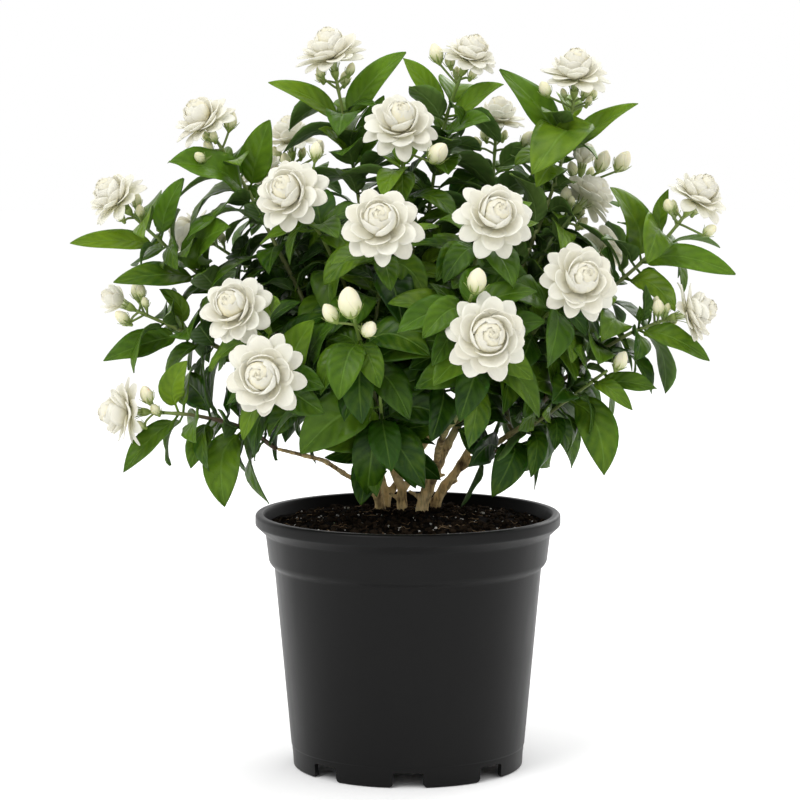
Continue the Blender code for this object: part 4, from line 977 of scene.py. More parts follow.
def try_fill_leaf(shoot, at, turn, chance):
    """The root and blade of one such leaf, if there is room for it."""
    point, tangent, side = shoot.route.at(at)
    radius = shoot.route.radius(at)
    away = (point - shoot.middle).normalized()
    for attempt in range(FILL_TRIES):
        outward = around(tangent, side, turn + chance.uniform(-0.7, 0.7))
        way = (outward + tangent * chance.uniform(-0.1, 0.8)).normalized()
        length = LEAF_LENGTH * chance.uniform(0.7, 1.02) * (1.0 - 0.045 * attempt)
        toward = way + Vector((0.0, 0.0, chance.uniform(-0.75, 0.15)))
        toward -= away * max(0.0, toward.dot(away)) * chance.uniform(0.2, 0.75)
        tip = point + toward.normalized() * length
        if tip.z < LOWEST_LEAF:
            continue
        stalk_end = point + outward * (radius + 1.0) + way * 2.5
        face_way = Vector((0.0, 0.0, 0.4)) + away + jitter(chance, 0.4)
        half_width = 0.5 * LEAF_WIDTH_SHARE * chance.uniform(0.95, 1.18) * (tip - stalk_end).length
        blade = (stalk_end, way, tip, half_width, face_way, SHOWN_OUTLINE)
        if not shoot.surroundings.stops(growth_lists(*leaf_sections(*blade, swell=FILL_CLEARANCE))):
            shoot.surroundings.add(*growth_lists(*leaf_sections(*blade)))
            return point + outward * radius * 0.5, blade
    return None


def young_buds(shoot):
    """Small buds on thin stalks close under a bloom, where there is room."""
    chance = random.Random("young" + shoot.key)
    axis = facing(*BLOOMS[shoot.key][2])
    found = []
    for below_top, count in YOUNG_BUDS:
        at = shoot.route.length - below_top
        point, tangent, side = shoot.route.at(at)
        radius = shoot.route.radius(at)
        turn = chance.uniform(0.0, math.tau)
        for number in range(count):
            for _attempt in range(YOUNG_TRIES):
                angle = turn + math.tau * number / count + chance.uniform(-0.6, 0.6)
                outward = around(tangent, side, angle)
                way = (outward + tangent * chance.uniform(0.15, 0.75) + Vector((0, 0, 0.3))).normalized()
                stalk_end = point + outward * radius + way * chance.uniform(4.0, 7.5)
                width = chance.uniform(3.4, 5.6)
                centre = stalk_end + (way + axis * 0.4).normalized() * (0.68 * width)
                swollen = bud_sections(stalk_end, centre, width + YOUNG_CLEARANCE)
                if not shoot.surroundings.touches(*growth_lists(*swollen)):
                    shoot.surroundings.add(*growth_lists(*bud_sections(stalk_end, centre, width)))
                    found.append((stalk_end, centre, width, point + outward * radius * 0.5))
                    break
    return found


# Fine bodies

def sheet_faces(rows, columns):
    """Faces of a thin closed body whose two sheets each have rows by columns points."""
    count = rows * columns
    index = numpy.arange(count).reshape(rows, columns)
    corners = [index[:-1, :-1], index[:-1, 1:], index[1:, 1:], index[1:, :-1]]
    upper = numpy.stack(corners, axis=-1).reshape(-1, 4)
    lower = upper[:, ::-1] + count
    edge = numpy.concatenate([index[0, :], index[1:, -1], index[-1, -2::-1], index[-2:0:-1, 0]])
    following = numpy.roll(edge, -1)
    rim = numpy.stack([following, edge, edge + count, following + count], axis=-1)
    return numpy.concatenate([upper, lower, rim])


def sheet_points(rows, thickness):
    """A grid of points thickened both ways, thinner at its rim."""
    across = numpy.gradient(rows, axis=1)
    down = numpy.gradient(rows, axis=0)
    normal = numpy.cross(across, down)
    normal /= numpy.linalg.norm(normal, axis=2, keepdims=True) + 1e-9
    taper = numpy.ones(rows.shape[1])
    taper[[0, -1]] = 0.35
    half = 0.5 * numpy.asarray(thickness)[:, None] * taper[None, :]
    lifted = normal * half[:, :, None]
    return numpy.concatenate([(rows + lifted).reshape(-1, 3), (rows - lifted).reshape(-1, 3)])


def ring_faces(rings, corners):
    """Faces between rings that run counterclockwise about the way they follow each other."""
    index = numpy.arange(rings * corners).reshape(rings, corners)
    beside = numpy.roll(index, -1, axis=1)
    sides = numpy.stack([index[:-1], beside[:-1], beside[1:], index[1:]], axis=-1).reshape(-1, 4)
    return sides, [index[0][::-1].tolist(), index[-1].tolist()]


def new_item(name, data):
    item = bpy.data.objects.new(name, data)
    bpy.context.collection.objects.link(item)
    return item


class Piece:
    """Collects the closed bodies of one piece: points, faces, materials and notes for the shaders."""

    def __init__(self):
        self.points = []
        self.faces = []
        self.looks = []
        self.blade = []
        self.tint = []
        self.count = 0

    def add(self, points, faces, look, blade=None, tint=(0.5, 0.5, 0.0)):
        """A closed body; the blade note varies over it and the tint is the same all over."""
        points = numpy.asarray(points, float)
        self.points.append(points)
        self.faces += [[corner + self.count for corner in face] for face in faces]
        self.looks += [look] * len(faces)
        self.blade.append(numpy.zeros((len(points), 3)) if blade is None else blade)
        self.tint.append(numpy.broadcast_to(numpy.asarray(tint, float), (len(points), 3)))
        self.count += len(points)

    def add_sheet(self, rows, thickness, look, across, along, tint):
        """A thin body on a grid; the notes say where a point is across and along, and on which side."""
        count = rows.shape[0] * rows.shape[1]
        note = numpy.zeros((2, count, 3))
        note[:, :, 0] = numpy.tile(across, rows.shape[0])
        note[:, :, 1] = numpy.repeat(along, rows.shape[1])
        note[1, :, 2] = 1.0
        faces = sheet_faces(*rows.shape[:2]).tolist()
        self.add(sheet_points(rows, thickness), faces, look, note.reshape(-1, 3), tint)

    def add_rings(self, rings, look, tint=(0.5, 0.5, 0.0)):
        """A closed body through the rings; the notes say how far along it a point is."""
        rings = numpy.asarray([[tuple(point) for point in ring] for ring in rings], float)
        sides, caps = ring_faces(*rings.shape[:2])
        note = numpy.zeros((rings.shape[0] * rings.shape[1], 3))
        note[:, 0] = numpy.tile(numpy.linspace(-1.0, 1.0, rings.shape[1]), rings.shape[0])
        note[:, 1] = numpy.repeat(numpy.linspace(0.0, 1.0, rings.shape[0]), rings.shape[1])
        self.add(rings.reshape(-1, 3), sides.tolist() + caps, look, note, tint)

    def build(self, name, looks):
        """One item of all the bodies, in metres, with the notes as attributes."""
        mesh = bpy.data.meshes.new(name)
        mesh.from_pydata((numpy.concatenate(self.points) * MM).tolist(), [], self.faces)
        for label, values in (("blade", self.blade), ("tint", self.tint)):
            note = mesh.attributes.new(label, "FLOAT_VECTOR", "POINT")
            note.data.foreach_set("vector", numpy.concatenate(values).ravel())
        for look in looks:
            mesh.materials.append(look)
        mesh.polygons.foreach_set("material_index", self.looks)
        mesh.shade_smooth()
        mesh.update()
        return new_item(name, mesh)


def hand_in(item, slot, *nodes):
    """The piece takes the place of the nodes and moves with the one rigid body."""
    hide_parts(*nodes)
    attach(item, "root")


def evaluate(item):
    """Replaces the item's mesh by what its modifiers make of it."""
    graph = bpy.context.evaluated_depsgraph_get()
    mesh = bpy.data.meshes.new_from_object(item.evaluated_get(graph))
    item.modifiers.clear()
    item.data = mesh
    return mesh


# Leaves

def leaf_outline(share):
    """Half width along the blade, as a share of the greatest."""
    return 1.75 * share ** 0.52 * (1.0 - share ** 2.2) ** 0.88


def add_leaf_body(piece, root, blade, youth_and_painted_light, chance, fine=True):
    """A leaf on its stalk: folded along the midrib, with a waved edge and a drawn-out tip."""
    stalk_end, _start_way, tip, half_width, face_way, _outline = blade
    crosswise = LEAF_ACROSS if fine else FILL_ACROSS
    shares = STALK_SHARES + (BLADE_SHARES if fine else FILL_SHARES)
    bend, length = leaf_line(blade)
    half_width = min(half_width, 0.3 * length)
    waves = chance.uniform(1.0, 2.2)
    phase = chance.uniform(0.0, math.tau)
    ruffle = half_width * chance.uniform(0.03, 0.13)
    lean = chance.uniform(-0.22, 0.22)
    fold = BLADE_FOLD * chance.uniform(0.6, 1.6)
    rows = []
    thickness = []
    for share in shares:
        if share < 0.0:
            point = root.lerp(stalk_end, 1.0 + share)
            along = (stalk_end - root).normalized()
            width = STALK_WIDTH
            thick = STALK_WIDTH * 1.7
        else:
            point, along = bent_line(stalk_end, bend, tip, share)
            width = max(half_width * leaf_outline(share), STALK_WIDTH * (1.0 - share), 0.12)
            thick = LEAF_THICKNESS + max(0.0, 0.12 - share) * 6.0
        normal = square_to(face_way, along)
        side = along.cross(normal)
        lift = width * fold * numpy.abs(crosswise) ** 1.3 + width * lean * crosswise
        lift += ruffle * numpy.sin(math.tau * waves * share + phase + 1.4 * crosswise) * crosswise ** 2
        lift *= clipped(share * 12.0)
        rows.append(numpy.array(point)[None, :] + numpy.outer(crosswise * width, side)
                    + numpy.outer(lift, normal))
        thickness.append(thick)
    notes = numpy.maximum(numpy.array(shares), 0.0)
    # The first note is the leaf's youth together with its painted light and shade
    tint = (youth_and_painted_light, chance.random(), 0.0)
    piece.add_sheet(numpy.array(rows), thickness, GREEN, crosswise, notes, tint)


def leaf_line(blade):
    """The bend point of a leaf's midrib, which arches more than its solid's, and the leaf's length."""
    stalk_end, start_way, tip, _half_width, face_way, _outline = blade
    chord = tip - stalk_end
    length = chord.length
    way = chord.normalized()
    lift = Vector((0.0, 0.0, 1.0)) * 0.7 + face_way.normalized() * 0.5
    lift -= way * lift.dot(way)
    arch = LEAF_ARCH * length * min(1.0, lift.length * 1.4)
    return stalk_end + start_way * length * BEND_SHARE + lift.normalized() * arch, length


def youth_and_painted_light_of(spot, middle, below_top, chance):
    """How light a leaf is: those near a shoot's end are lighter for their youth, the upper and outer ones are
    lighter with painted light, and the inner ones are darker with painted shade.
    """
    # Painted shade deep in the bush: the nearer a leaf is to the bush's middle, the darker it is
    outer = clipped(((spot - middle).length - 40.0) / 90.0) ** 1.2
    young = clipped(1.0 - below_top / 110.0)
    # Painted light from above: the higher a leaf stands, the lighter it is
    level = clipped((spot.z - 150.0) / 180.0)
    return clipped(0.5 * outer + 0.2 * young + 0.3 * level - 0.18 + chance.uniform(-0.27, 0.27))


# Stems, calyxes and buds

def smooth_line(points, step, passes=3):
    """Evenly spaced points along a line of straight stretches, with its corners rounded."""
    line = numpy.array([tuple(point) for point in points])
    marks = numpy.concatenate([[0.0], numpy.cumsum(numpy.linalg.norm(numpy.diff(line, axis=0), axis=1))])
    count = max(int(marks[-1] / step), 3)
    wanted = numpy.linspace(0.0, marks[-1], count + 1)
    fine = numpy.stack([numpy.interp(wanted, marks, line[:, axis]) for axis in range(3)], axis=1)
    for _pass in range(passes):
        fine[1:-1] = 0.5 * fine[1:-1] + 0.25 * (fine[:-2] + fine[2:])
    return [Vector(row) for row in fine], wanted


def add_tube(piece, points, radii, corners, look, tint=(0.5, 0.5, 0.0)):
    piece.add_rings(tube_rings(points, radii, corners, (points[1] - points[0]).orthogonal()), look, tint)


def add_stem(piece, shoot):
    """The shoot's stem, swollen a little at its leaf pairs."""
    points, marks = smooth_line(shoot.route.points, 2.6)
    nodes = [node["at"] for node in shoot.nodes if node["growths"]]
    radii = []
    for mark in marks:
        swelling = sum(math.exp(-((mark - at) / 1.8) ** 2) for at in nodes)
        radii.append(shoot.route.radius(mark) * (0.94 + 0.3 * min(swelling, 1.0)))
    if shoot.key not in BLOOMS and not LEAFY[shoot.key][3]:
        points.append(points[-1] + (points[-1] - points[-2]).normalized() * END_POINT)
        radii.append(0.25)
    brown = STEM_BROWN.get(shoot.key, USUAL_BROWN)
    add_tube(piece, points, radii, 8, STEM, (0.5, shoot.chance.random(), brown))


def add_tooth(piece, points, beside, width, thickness, chance):
    """One narrow pointed tooth of a calyx, along the points."""
    rows = []
    for share, point in zip(SEPAL_SHARES, points):
        half = width * (1.0 - share) ** 0.8 + 0.07
        rows.append([tuple(point - beside * (half * u)) for u in SEPAL_ACROSS])
    tint = (chance.uniform(0.55, 0.9), chance.random(), 0.0)
    piece.add_sheet(numpy.array(rows), [thickness] * len(rows), CALYX, numpy.array(SEPAL_ACROSS) * 0.3,
                    numpy.array(SEPAL_SHARES), tint)


def add_turned(piece, foot, axis, side, profile, corners, look, tint, flute=None):
    """A body turned about an axis; flute gives the share of its radius at an angle and height."""
    rings = []
    for radius, height in profile:
        ring = []
        for number in range(corners):
            angle = math.tau * number / corners
            reach = radius * flute(angle, height) if flute else radius
            ring.append(foot + around(axis, side, angle) * reach + axis * height)
        rings.append(ring)
    piece.add_rings(rings, look, tint)


def add_calyx(piece, key, chance):
    """The bell under a bloom with its narrow teeth."""
    axis = facing(*BLOOMS[key][2])
    foot = bloom_seat(key) - axis * (GAP + CALYX_LENGTH)
    side = axis.orthogonal().normalized()
    add_turned(piece, foot, axis, side, CALYX_BELL, CALYX_CORNERS, CALYX, (0.7, 0.5, 0.0))
    flare = 0.22 if half_open(key) else 0.5
    for number in range(CALYX_TEETH):
        angle = math.tau * (number + chance.uniform(-0.15, 0.15)) / CALYX_TEETH
        outward = around(axis, side, angle)
        reach = TOOTH_LENGTH * chance.uniform(0.75, 1.15)
        spread_out = flare * chance.uniform(0.6, 1.4)
        points = []
        for share in SEPAL_SHARES:
            out = outward * (TOOTH_CIRCLE + spread_out * reach * share ** 1.5)
            points.append(foot + axis * (CALYX_LENGTH - 0.4) + out + axis * (reach * share))
        add_tooth(piece, points, axis.cross(outward), 0.42, 0.35, chance)


def add_bud(piece, green, stalk_end, centre, width, root, chance, corners=BUD_CORNERS):
    """A closed bud on its stalk, with its calyx: a pointed egg whose petals wind up it."""
    axis = ((centre - stalk_end).normalized() + Vector((0.0, 0.0, BUD_RISE))).normalized()
    side = axis.orthogonal().normalized()
    length = BUD_LENGTH * width
    foot = centre - axis * length * 0.47
    radius = 0.5 * width
    turn = chance.uniform(0.0, math.tau)

    def lap(angle, height):
        share = height / length
        step = (3.0 * (angle + turn) / math.tau + 0.75 * share) % 1.0
        return 1.0 + 0.1 * (step - 0.5) * min(1.0, 3.0 * share)

    egg = [(radius * reach, length * share) for share, reach in BUD_PROFILE]
    tint = (clipped((width - 2.8) / 4.5), chance.random(), 0.0)
    add_turned(piece, foot, axis, side, egg, corners, 0, tint, lap)
    cup = [(0.6, -1.8), (0.9, -1.2), (radius * 0.55, 0.0), (radius * 0.8, length * 0.11),
           (radius * 0.4, length * 0.13)]
    add_turned(green, foot, axis, side, cup, CALYX_CORNERS, CALYX, (0.75, 0.5, 0.0))
    teeth = BUD_TEETH if corners == BUD_CORNERS else YOUNG_TEETH
    for number in range(teeth):
        outward = around(axis, side, math.tau * (number + chance.uniform(-0.2, 0.2)) / teeth)
        reach = chance.uniform(0.25, 0.5)
        spread_out = chance.uniform(0.1, 0.16 * width)
        points = []
        for share in SEPAL_SHARES:
            height = 0.06 + reach * share
            out = radius * numpy.interp(height, *zip(*BUD_PROFILE)) * 1.06 + 0.3 + spread_out * share ** 3
            points.append(foot + outward * out + axis * (length * height))
        add_tooth(green, points, axis.cross(outward), 0.06 * width, 0.3, chance)
    if root is not None:
        points, _marks = smooth_line([root, stalk_end, foot - axis * 1.0], 1.6, 2)
        add_tube(green, points, [0.62] * len(points), 6, STEM, (0.5, chance.random(), 0.1))


def dress_shoot(shoot, looks):
    """All that stands on one shoot: its green piece and, where it has any, its buds."""
    green = Piece()
    buds = Piece()
    chance = random.Random("dress" + shoot.key)
    add_stem(green, shoot)
    for node in shoot.nodes:
        point = shoot.route.at(node["at"])[0]
        below_top = shoot.route.length - node["at"]
        for number in sorted(node["growths"]):
            outward = shoot.side_way(node, number)[2]
            root = point + outward * shoot.route.radius(node["at"]) * 0.5
            kind, values = node["growths"][number]
            if kind == "leaf":
                # Lightness from youth, with painted light on upper and outer leaves and painted shade on
                # inner ones
                youth_and_painted_light = youth_and_painted_light_of(values[2], shoot.middle, below_top, chance)
                add_leaf_body(green, root, values, youth_and_painted_light, chance)
            else:
                add_bud(buds, green, *values, root, chance)
    for root, blade in shoot.fill:
        youth_and_painted_light = 0.9 * youth_and_painted_light_of(blade[2], shoot.middle, FILL_AGE, chance)
        add_leaf_body(green, root, blade, youth_and_painted_light, chance, fine=False)
    if shoot.key in BLOOMS:
        add_calyx(green, shoot.key, chance)
        for stalk_end, centre, width, root in shoot.young:
            add_bud(buds, green, stalk_end, centre, width, root, chance, YOUNG_CORNERS)
    elif LEAFY[shoot.key][3]:
        add_bud(buds, green, *end_bud(shoot), None, chance)
    node_name = ("shoot_" if shoot.key in BLOOMS else "leafy_shoot_") + shoot.key
    item = green.build("fine_" + node_name, [looks["leaf"], looks["stem"], looks["calyx"]])
    hand_in(item, "leaf", node_name)
    if buds.points:
        item = buds.build("buds_" + shoot.key, [looks["bud"]])
        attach(item, "root")


# Blooms

def petal_rows(petal, chance):
    """One petal in the bloom's frame: outward along X, across along Y and up along Z."""
    length, half_width, foot_radius, foot_height, rise, end_rise, wrap, cup, lean, point = petal
    length *= chance.uniform(0.9, 1.05)
    half_width *= chance.uniform(0.84, 1.12)
    rise = math.radians(rise + chance.uniform(-5, 5))
    crease = chance.uniform(0.1, 0.45)
    end_rise = math.radians(end_rise + chance.uniform(-12, 12) + (chance.random() < 0.2) * 22.0)
    cup *= chance.uniform(0.6, 1.4)
    curl = chance.uniform(-0.2, 0.5)
    phase = chance.uniform(0.0, math.tau)
    sway = chance.uniform(-0.2, 0.2)
    radius, height = foot_radius, foot_height
    rows = []
    last = 0.0
    for share in PETAL_SHARES:
        angle = rise + (end_rise - rise) * 0.5 * (share + last)
        step = (share - last) * length
        last = share
        radius += math.cos(angle) * step
        height += math.sin(angle) * step
        angle = rise + (end_rise - rise) * share
        width = half_width * (0.3 + 0.7 * math.sin(0.5 * math.pi * min(share / 0.66, 1.0)) ** 0.9)
        if share > 0.6:
            end = (share - 0.6) / 0.4
            width *= max(0.0, 1.0 - end ** (2.8 - 0.6 * point)) ** (0.5 + 0.2 * point)
        width = max(width, 0.14 * half_width)
        crosswise = PETAL_ACROSS + sway * share ** 2
        lift = cup * width * PETAL_ACROSS ** 2 * (1.0 - 0.8 * share ** 3) + lean * width * PETAL_ACROSS
        lift += 0.35 * share * numpy.sin(2.6 * PETAL_ACROSS + phase) * numpy.abs(PETAL_ACROSS) ** 1.5
        lift -= curl * max(0.0, share - 0.72) * 5.0 * (1.0 - 0.4 * PETAL_ACROSS ** 2)
        lift -= crease * math.sin(math.pi * share) * numpy.exp(-(3.2 * PETAL_ACROSS) ** 2)
        outward = radius - math.sin(angle) * lift
        upward = height + math.cos(angle) * lift
        turn = crosswise * width / max(radius, 1.8)
        x = (1.0 - wrap) * outward + wrap * outward * numpy.cos(turn)
        y = (1.0 - wrap) * crosswise * width + wrap * outward * numpy.sin(turn)
        rows.append(numpy.stack([x, y, upward], axis=1))
    return numpy.array(rows)


def heart_rows(start, radius, middle, tall, end, half_width, chance):
    """A petal that lies on a dome: it follows the dome up to its own end angle."""
    end = math.radians(end + chance.uniform(-5.0, 5.0))
    lean = chance.uniform(0.15, 0.35)
    sag = chance.uniform(0.4, 0.7)
    curl = chance.uniform(0.1, 0.35)
    rows = []
    for share in HEART_SHARES:
        tilt = start + (end - start) * share
        width = half_width * (0.75 + 0.25 * math.sin(math.pi * share))
        if share > 0.5:
            width *= max(0.0, 1.0 - ((share - 0.5) / 0.5) ** 2.6) ** 0.5
        width = max(width, 0.3)
        tilts = tilt + 0.12 * share * PETAL_ACROSS
        pressed = sag * clipped((share - 0.3) / 0.5)
        out = radius - pressed + lean * PETAL_ACROSS + curl * max(0.0, share - 0.84) / 0.16
        turn = PETAL_ACROSS * width / max(radius * math.sin(tilt), 0.4 * radius)
        flat = out * numpy.sin(tilts)
        height = middle + tall * out * numpy.cos(tilts)
        rows.append(numpy.stack([flat * numpy.cos(turn), flat * numpy.sin(turn), height], axis=1))
    return numpy.array(rows)


def swirled(angle, height):
    return 1.0 + 0.04 * math.cos(3.0 * angle + 0.22 * height)


def dress_bloom(key, looks):
    """One double bloom: whorls of petals on a short tube, round a domed heart."""
    _spot, width, way, _limb, _share = BLOOMS[key]
    if half_open(key):
        tube, whorls, heart = HALF_OPEN_TUBE, HALF_OPEN_PETALS, HALF_OPEN_HEART
    else:
        tube, whorls, heart = OPEN_BLOOM_TUBE, OPEN_BLOOM_PETALS, OPEN_HEART
    chance = random.Random("petals" + key)
    scale = width / UNIT_WIDTH
    axis = facing(*way)
    seat = bloom_seat(key)
    side = axis.orthogonal().normalized()
    basis = numpy.array([tuple(side), tuple(axis.cross(side)), tuple(axis)]) * scale
    piece = Piece()

    def add_core(profile, look, tint, flute=None):
        profile = [(radius * scale, height * scale) for radius, height in profile]
        add_turned(piece, seat, axis, side, profile, CORE_CORNERS, look, tint, flute)

    def add_petal(rows, angle, shares, layer):
        spin = numpy.array([[math.cos(angle), math.sin(angle), 0.0],
                            [-math.sin(angle), math.cos(angle), 0.0], [0.0, 0.0, 1.0]])
        rows = rows @ spin @ basis + numpy.array(seat)
        tint = (layer, chance.random(), 0.0)
        piece.add_sheet(rows, [PETAL_THICKNESS] * len(rows), 0, PETAL_ACROSS, numpy.array(shares), tint)

    add_core(tube, 1, (0.4, 0.5, 0.0))
    turn = chance.uniform(0.0, math.tau)
    for layer, (count, petal) in enumerate(whorls):
        for number in range(count):
            angle = turn + math.tau * (number + chance.uniform(-0.12, 0.12)) / count
            add_petal(petal_rows(petal, chance), angle, PETAL_SHARES, 0.14 * layer)
        turn += math.pi / count + chance.uniform(0.1, 0.5)
    count, outer, inner, start = heart
    for number in range(count):
        part = number / (count - 1)
        values = [first + (last - first) * part for first, last in zip(outer, inner)]
        rows = heart_rows(math.radians(start), *values, chance)
        turn += math.radians(HEART_TURN + chance.uniform(-9.0, 9.0))
        add_petal(rows, turn, HEART_SHARES, 0.45 + 0.55 * part)
    for part in (outer, inner):
        reach = part[0] - HEART_FILLING
        egg = []
        for tilt in CORE_TILTS:
            angle = math.radians(tilt)
            egg.append((reach * math.sin(angle), part[1] + reach * part[2] * math.cos(angle)))
        add_core(egg, 0, (1.0, 0.5, 0.0), swirled)
    item = piece.build("petals_" + key, [looks["petal"], looks["tube"]])
    hand_in(item, "petal", "bloom_" + key)


# Woody stems

def dress_limbs(name, keys, looks):
    """The limbs that grow from one root, fused, with knots and ridged bark."""
    piece = Piece()
    chance = random.Random(name)
    for key in keys:
        knots = limb_points(key)
        points, marks = smooth_line(knots, 1.5, 4)
        at = numpy.concatenate([[0.0], numpy.cumsum([(b - a).length for a, b in zip(knots, knots[1:])])])
        radii = numpy.interp(marks, at, [entry[3] for entry in LIMBS[key]])
        knot_at = chance.uniform(5.0, 12.0)
        while knot_at < marks[-1] - 4.0:
            radii = radii * (1.0 + 0.2 * numpy.exp(-((marks - knot_at) / 1.5) ** 2))
            knot_at += chance.uniform(10.0, 17.0)
        add_tube(piece, points, radii, 10, 0)
        for share, way, length in STUBS.get(key, ()):
            point, _tangent, radius = limb_at(key, share)
            toward = facing(*way)
            ends = [point + toward * (radius + length) * part for part in STUB_SHARES]
            add_tube(piece, ends, STUB_RADII, 8, 0)
    item = piece.build("bark_" + name, [looks["bark"]])
    step = item.modifiers.new("fuse", "REMESH")
    step.mode = "VOXEL"
    step.voxel_size = BARK_GRAIN * MM
    mesh = evaluate(item)
    bm = bmesh.new()
    bm.from_mesh(mesh)
    for _pass in range(3):
        bmesh.ops.smooth_vert(bm, verts=bm.verts, factor=0.5,
                              use_axis_x=True, use_axis_y=True, use_axis_z=True)
    bm.normal_update()
    for vert in bm.verts:
        spot = vert.co / MM
        ridge = noise.noise(Vector((spot.x * 0.9, spot.y * 0.9, spot.z * 0.22)))
        grain = noise.noise(spot * 1.3)
        vert.co += vert.normal * ((0.2 * ridge + 0.08 * grain) * MM)
    bm.to_mesh(mesh)
    bm.free()
    mesh.shade_smooth()
    hand_in(item, "bark", name)


# Soil

def level_ring(radius, height, count, way=1):
    """Points of a level circle about the upright axis, counterclockwise if the way is 1."""
    angles = [way * math.tau * number / count for number in range(count)]
    return [(radius * math.cos(angle), radius * math.sin(angle), height) for angle in angles]


def soil_top(x, y):
    """The soil's own height with its finer lumps."""
    broad = noise.noise(Vector((x * 0.16, y * 0.16, 3.0)))
    small = noise.noise(Vector((x, y, 7.0)) * 0.5)
    return soil_height(x, y) + 0.55 * (1.1 * broad + 0.9 * small)


def soil_spot(chance, reach):
    """A random place on the soil within reach of its middle."""
    radius = reach * math.sqrt(chance.random())
    angle = chance.uniform(0.0, math.tau)
    return radius * math.cos(angle), radius * math.sin(angle)


def dress_soil(looks):
    """The filled soil with crumbs, grains and fibres on it."""
    piece = Piece()
    chance = random.Random("soil")
    walls = [(radius - 0.5, height) for radius, height in inner_profile()[1:5]]
    walls[0] = (walls[0][0], FLOOR_TOP + GAP)
    slope = (RIM_OPENING - COLLAR_TOP_RADIUS + WALL) / (POT_HEIGHT - 1.2 - COLLAR_TOP - 1.0)
    edge = SOIL_EDGE - SOIL_EDGE_DIP
    brim = walls[-1][0] + slope * (edge - walls[-1][1])
    rings = [level_ring(radius, height, SOIL_FACETS) for radius, height in walls + [(brim, edge)]]
    for number in range(SOIL_RINGS):
        radius = (brim - 0.3) * (1.0 - number / SOIL_RINGS) + 0.6
        rings.append([(x, y, soil_top(x, y)) for x, y, _height in level_ring(radius, 0.0, SOIL_FACETS)])
    piece.add_rings(rings, 0)
    bm = bmesh.new()
    bmesh.ops.create_icosphere(bm, subdivisions=1, radius=1.0)
    template, faces = mesh_lists(bm)
    template = numpy.array([tuple(point) for point in template])
    for count, low, high, flat, look in CRUMBS:
        for _number in range(count):
            x, y = soil_spot(chance, brim - 1.5)
            size = chance.uniform(low, high)
            stretch = numpy.array([chance.uniform(0.7, 1.4), chance.uniform(0.6, 1.0),
                                   flat * chance.uniform(0.7, 1.2)])
            uneven = numpy.array([[1.0 + chance.uniform(-0.28, 0.28)] for _point in template])
            spin = Matrix.Rotation(chance.uniform(0, math.tau), 3, "Z")
            tilt = Matrix.Rotation(chance.uniform(-0.7, 0.7), 3, "X")
            points = (template * stretch * uneven * size) @ numpy.array(spin @ tilt).T
            points = points + numpy.array([x, y, soil_top(x, y) + 0.25 * size])
            piece.add(points, faces, look, tint=(chance.random(), chance.random(), 0.0))
    for _number in range(FIBRES):
        x, y = soil_spot(chance, brim - 6.0)
        heading = chance.uniform(0.0, math.tau)
        bending = chance.uniform(-0.35, 0.35)
        points = []
        for _step in range(FIBRE_POINTS):
            points.append(Vector((x, y, soil_top(x, y) + chance.uniform(0.3, 1.3))))
            heading += bending
            x += 1.1 * math.cos(heading)
            y += 1.1 * math.sin(heading)
        tint = (chance.random(), chance.random(), 0.0)
        add_tube(piece, points, [FIBRE_RADIUS] * FIBRE_POINTS, 5, 3, tint)
    item = piece.build("crumbly_soil", [looks["soil"], looks["crumb"], looks["perlite"], looks["fibre"]])
    hand_in(item, "soil", "potting_soil")


# Pot

def rounded(profile, radius):
    """The profile with its corners rounded."""
    smooth = [profile[0]]
    for before, corner, after in zip(profile, profile[1:], profile[2:]):
        ends = []
        for other in (before, after):
            distance = math.dist(corner, other)
            part = min(radius, 0.4 * distance) / distance
            ends.append([at + (to - at) * part for at, to in zip(corner, other)])
        for step in range(4):
            t = step / 3.0
            weights = ((1 - t) ** 2, 2 * t * (1 - t), t * t)
            smooth.append(tuple(weights[0] * first + weights[1] * middle + weights[2] * last
                                for first, middle, last in zip(ends[0], corner, ends[1])))
    return smooth + [profile[-1]]


def slot_cutter(turn):
    """A bar with the drain notch's outline: round upper corners and a flared, rounded foot."""
    half = FOOT_NOTCH_WIDTH / 2
    top = FLOOR_UNDERSIDE - 0.6
    flare, corner = NOTCH_FLARE, NOTCH_CORNER
    angles = [0.5 * math.pi * step / 5 for step in range(6)]
    right = [(half + flare + 0.2, -1.0), (half + flare, 0.0)]
    right += [(half + flare * (1 - math.sin(angle)), flare * (1 - math.cos(angle))) for angle in angles[1:]]
    right += [(half - corner * (1 - math.cos(angle)), top - corner * (1 - math.sin(angle)))
              for angle in angles]
    outline = right + [(-y, z) for y, z in right[::-1]]
    bm = bmesh.new()
    reach = 1.3 * FOOT_RADIUS
    verts = [bm.verts.new((-reach, y, z)) for y, z in outline]
    face = bm.faces.new(verts)
    pushed = bmesh.ops.extrude_face_region(bm, geom=[face])["geom"]
    moved = [item for item in pushed if isinstance(item, bmesh.types.BMVert)]
    bmesh.ops.translate(bm, vec=(2 * reach, 0, 0), verts=moved)
    bmesh.ops.rotate(bm, cent=(0, 0, 0), matrix=Matrix.Rotation(turn, 3, "Z"), verts=bm.verts)
    return bm


def mesh_item(name, bm):
    """An item from a mesh in millimetres that is needed for nothing else."""
    bmesh.ops.scale(bm, vec=(MM, MM, MM), verts=bm.verts)
    bmesh.ops.recalc_face_normals(bm, faces=bm.faces)
    mesh = bpy.data.meshes.new(name)
    bm.to_mesh(mesh)
    bm.free()
    return new_item(name, mesh)


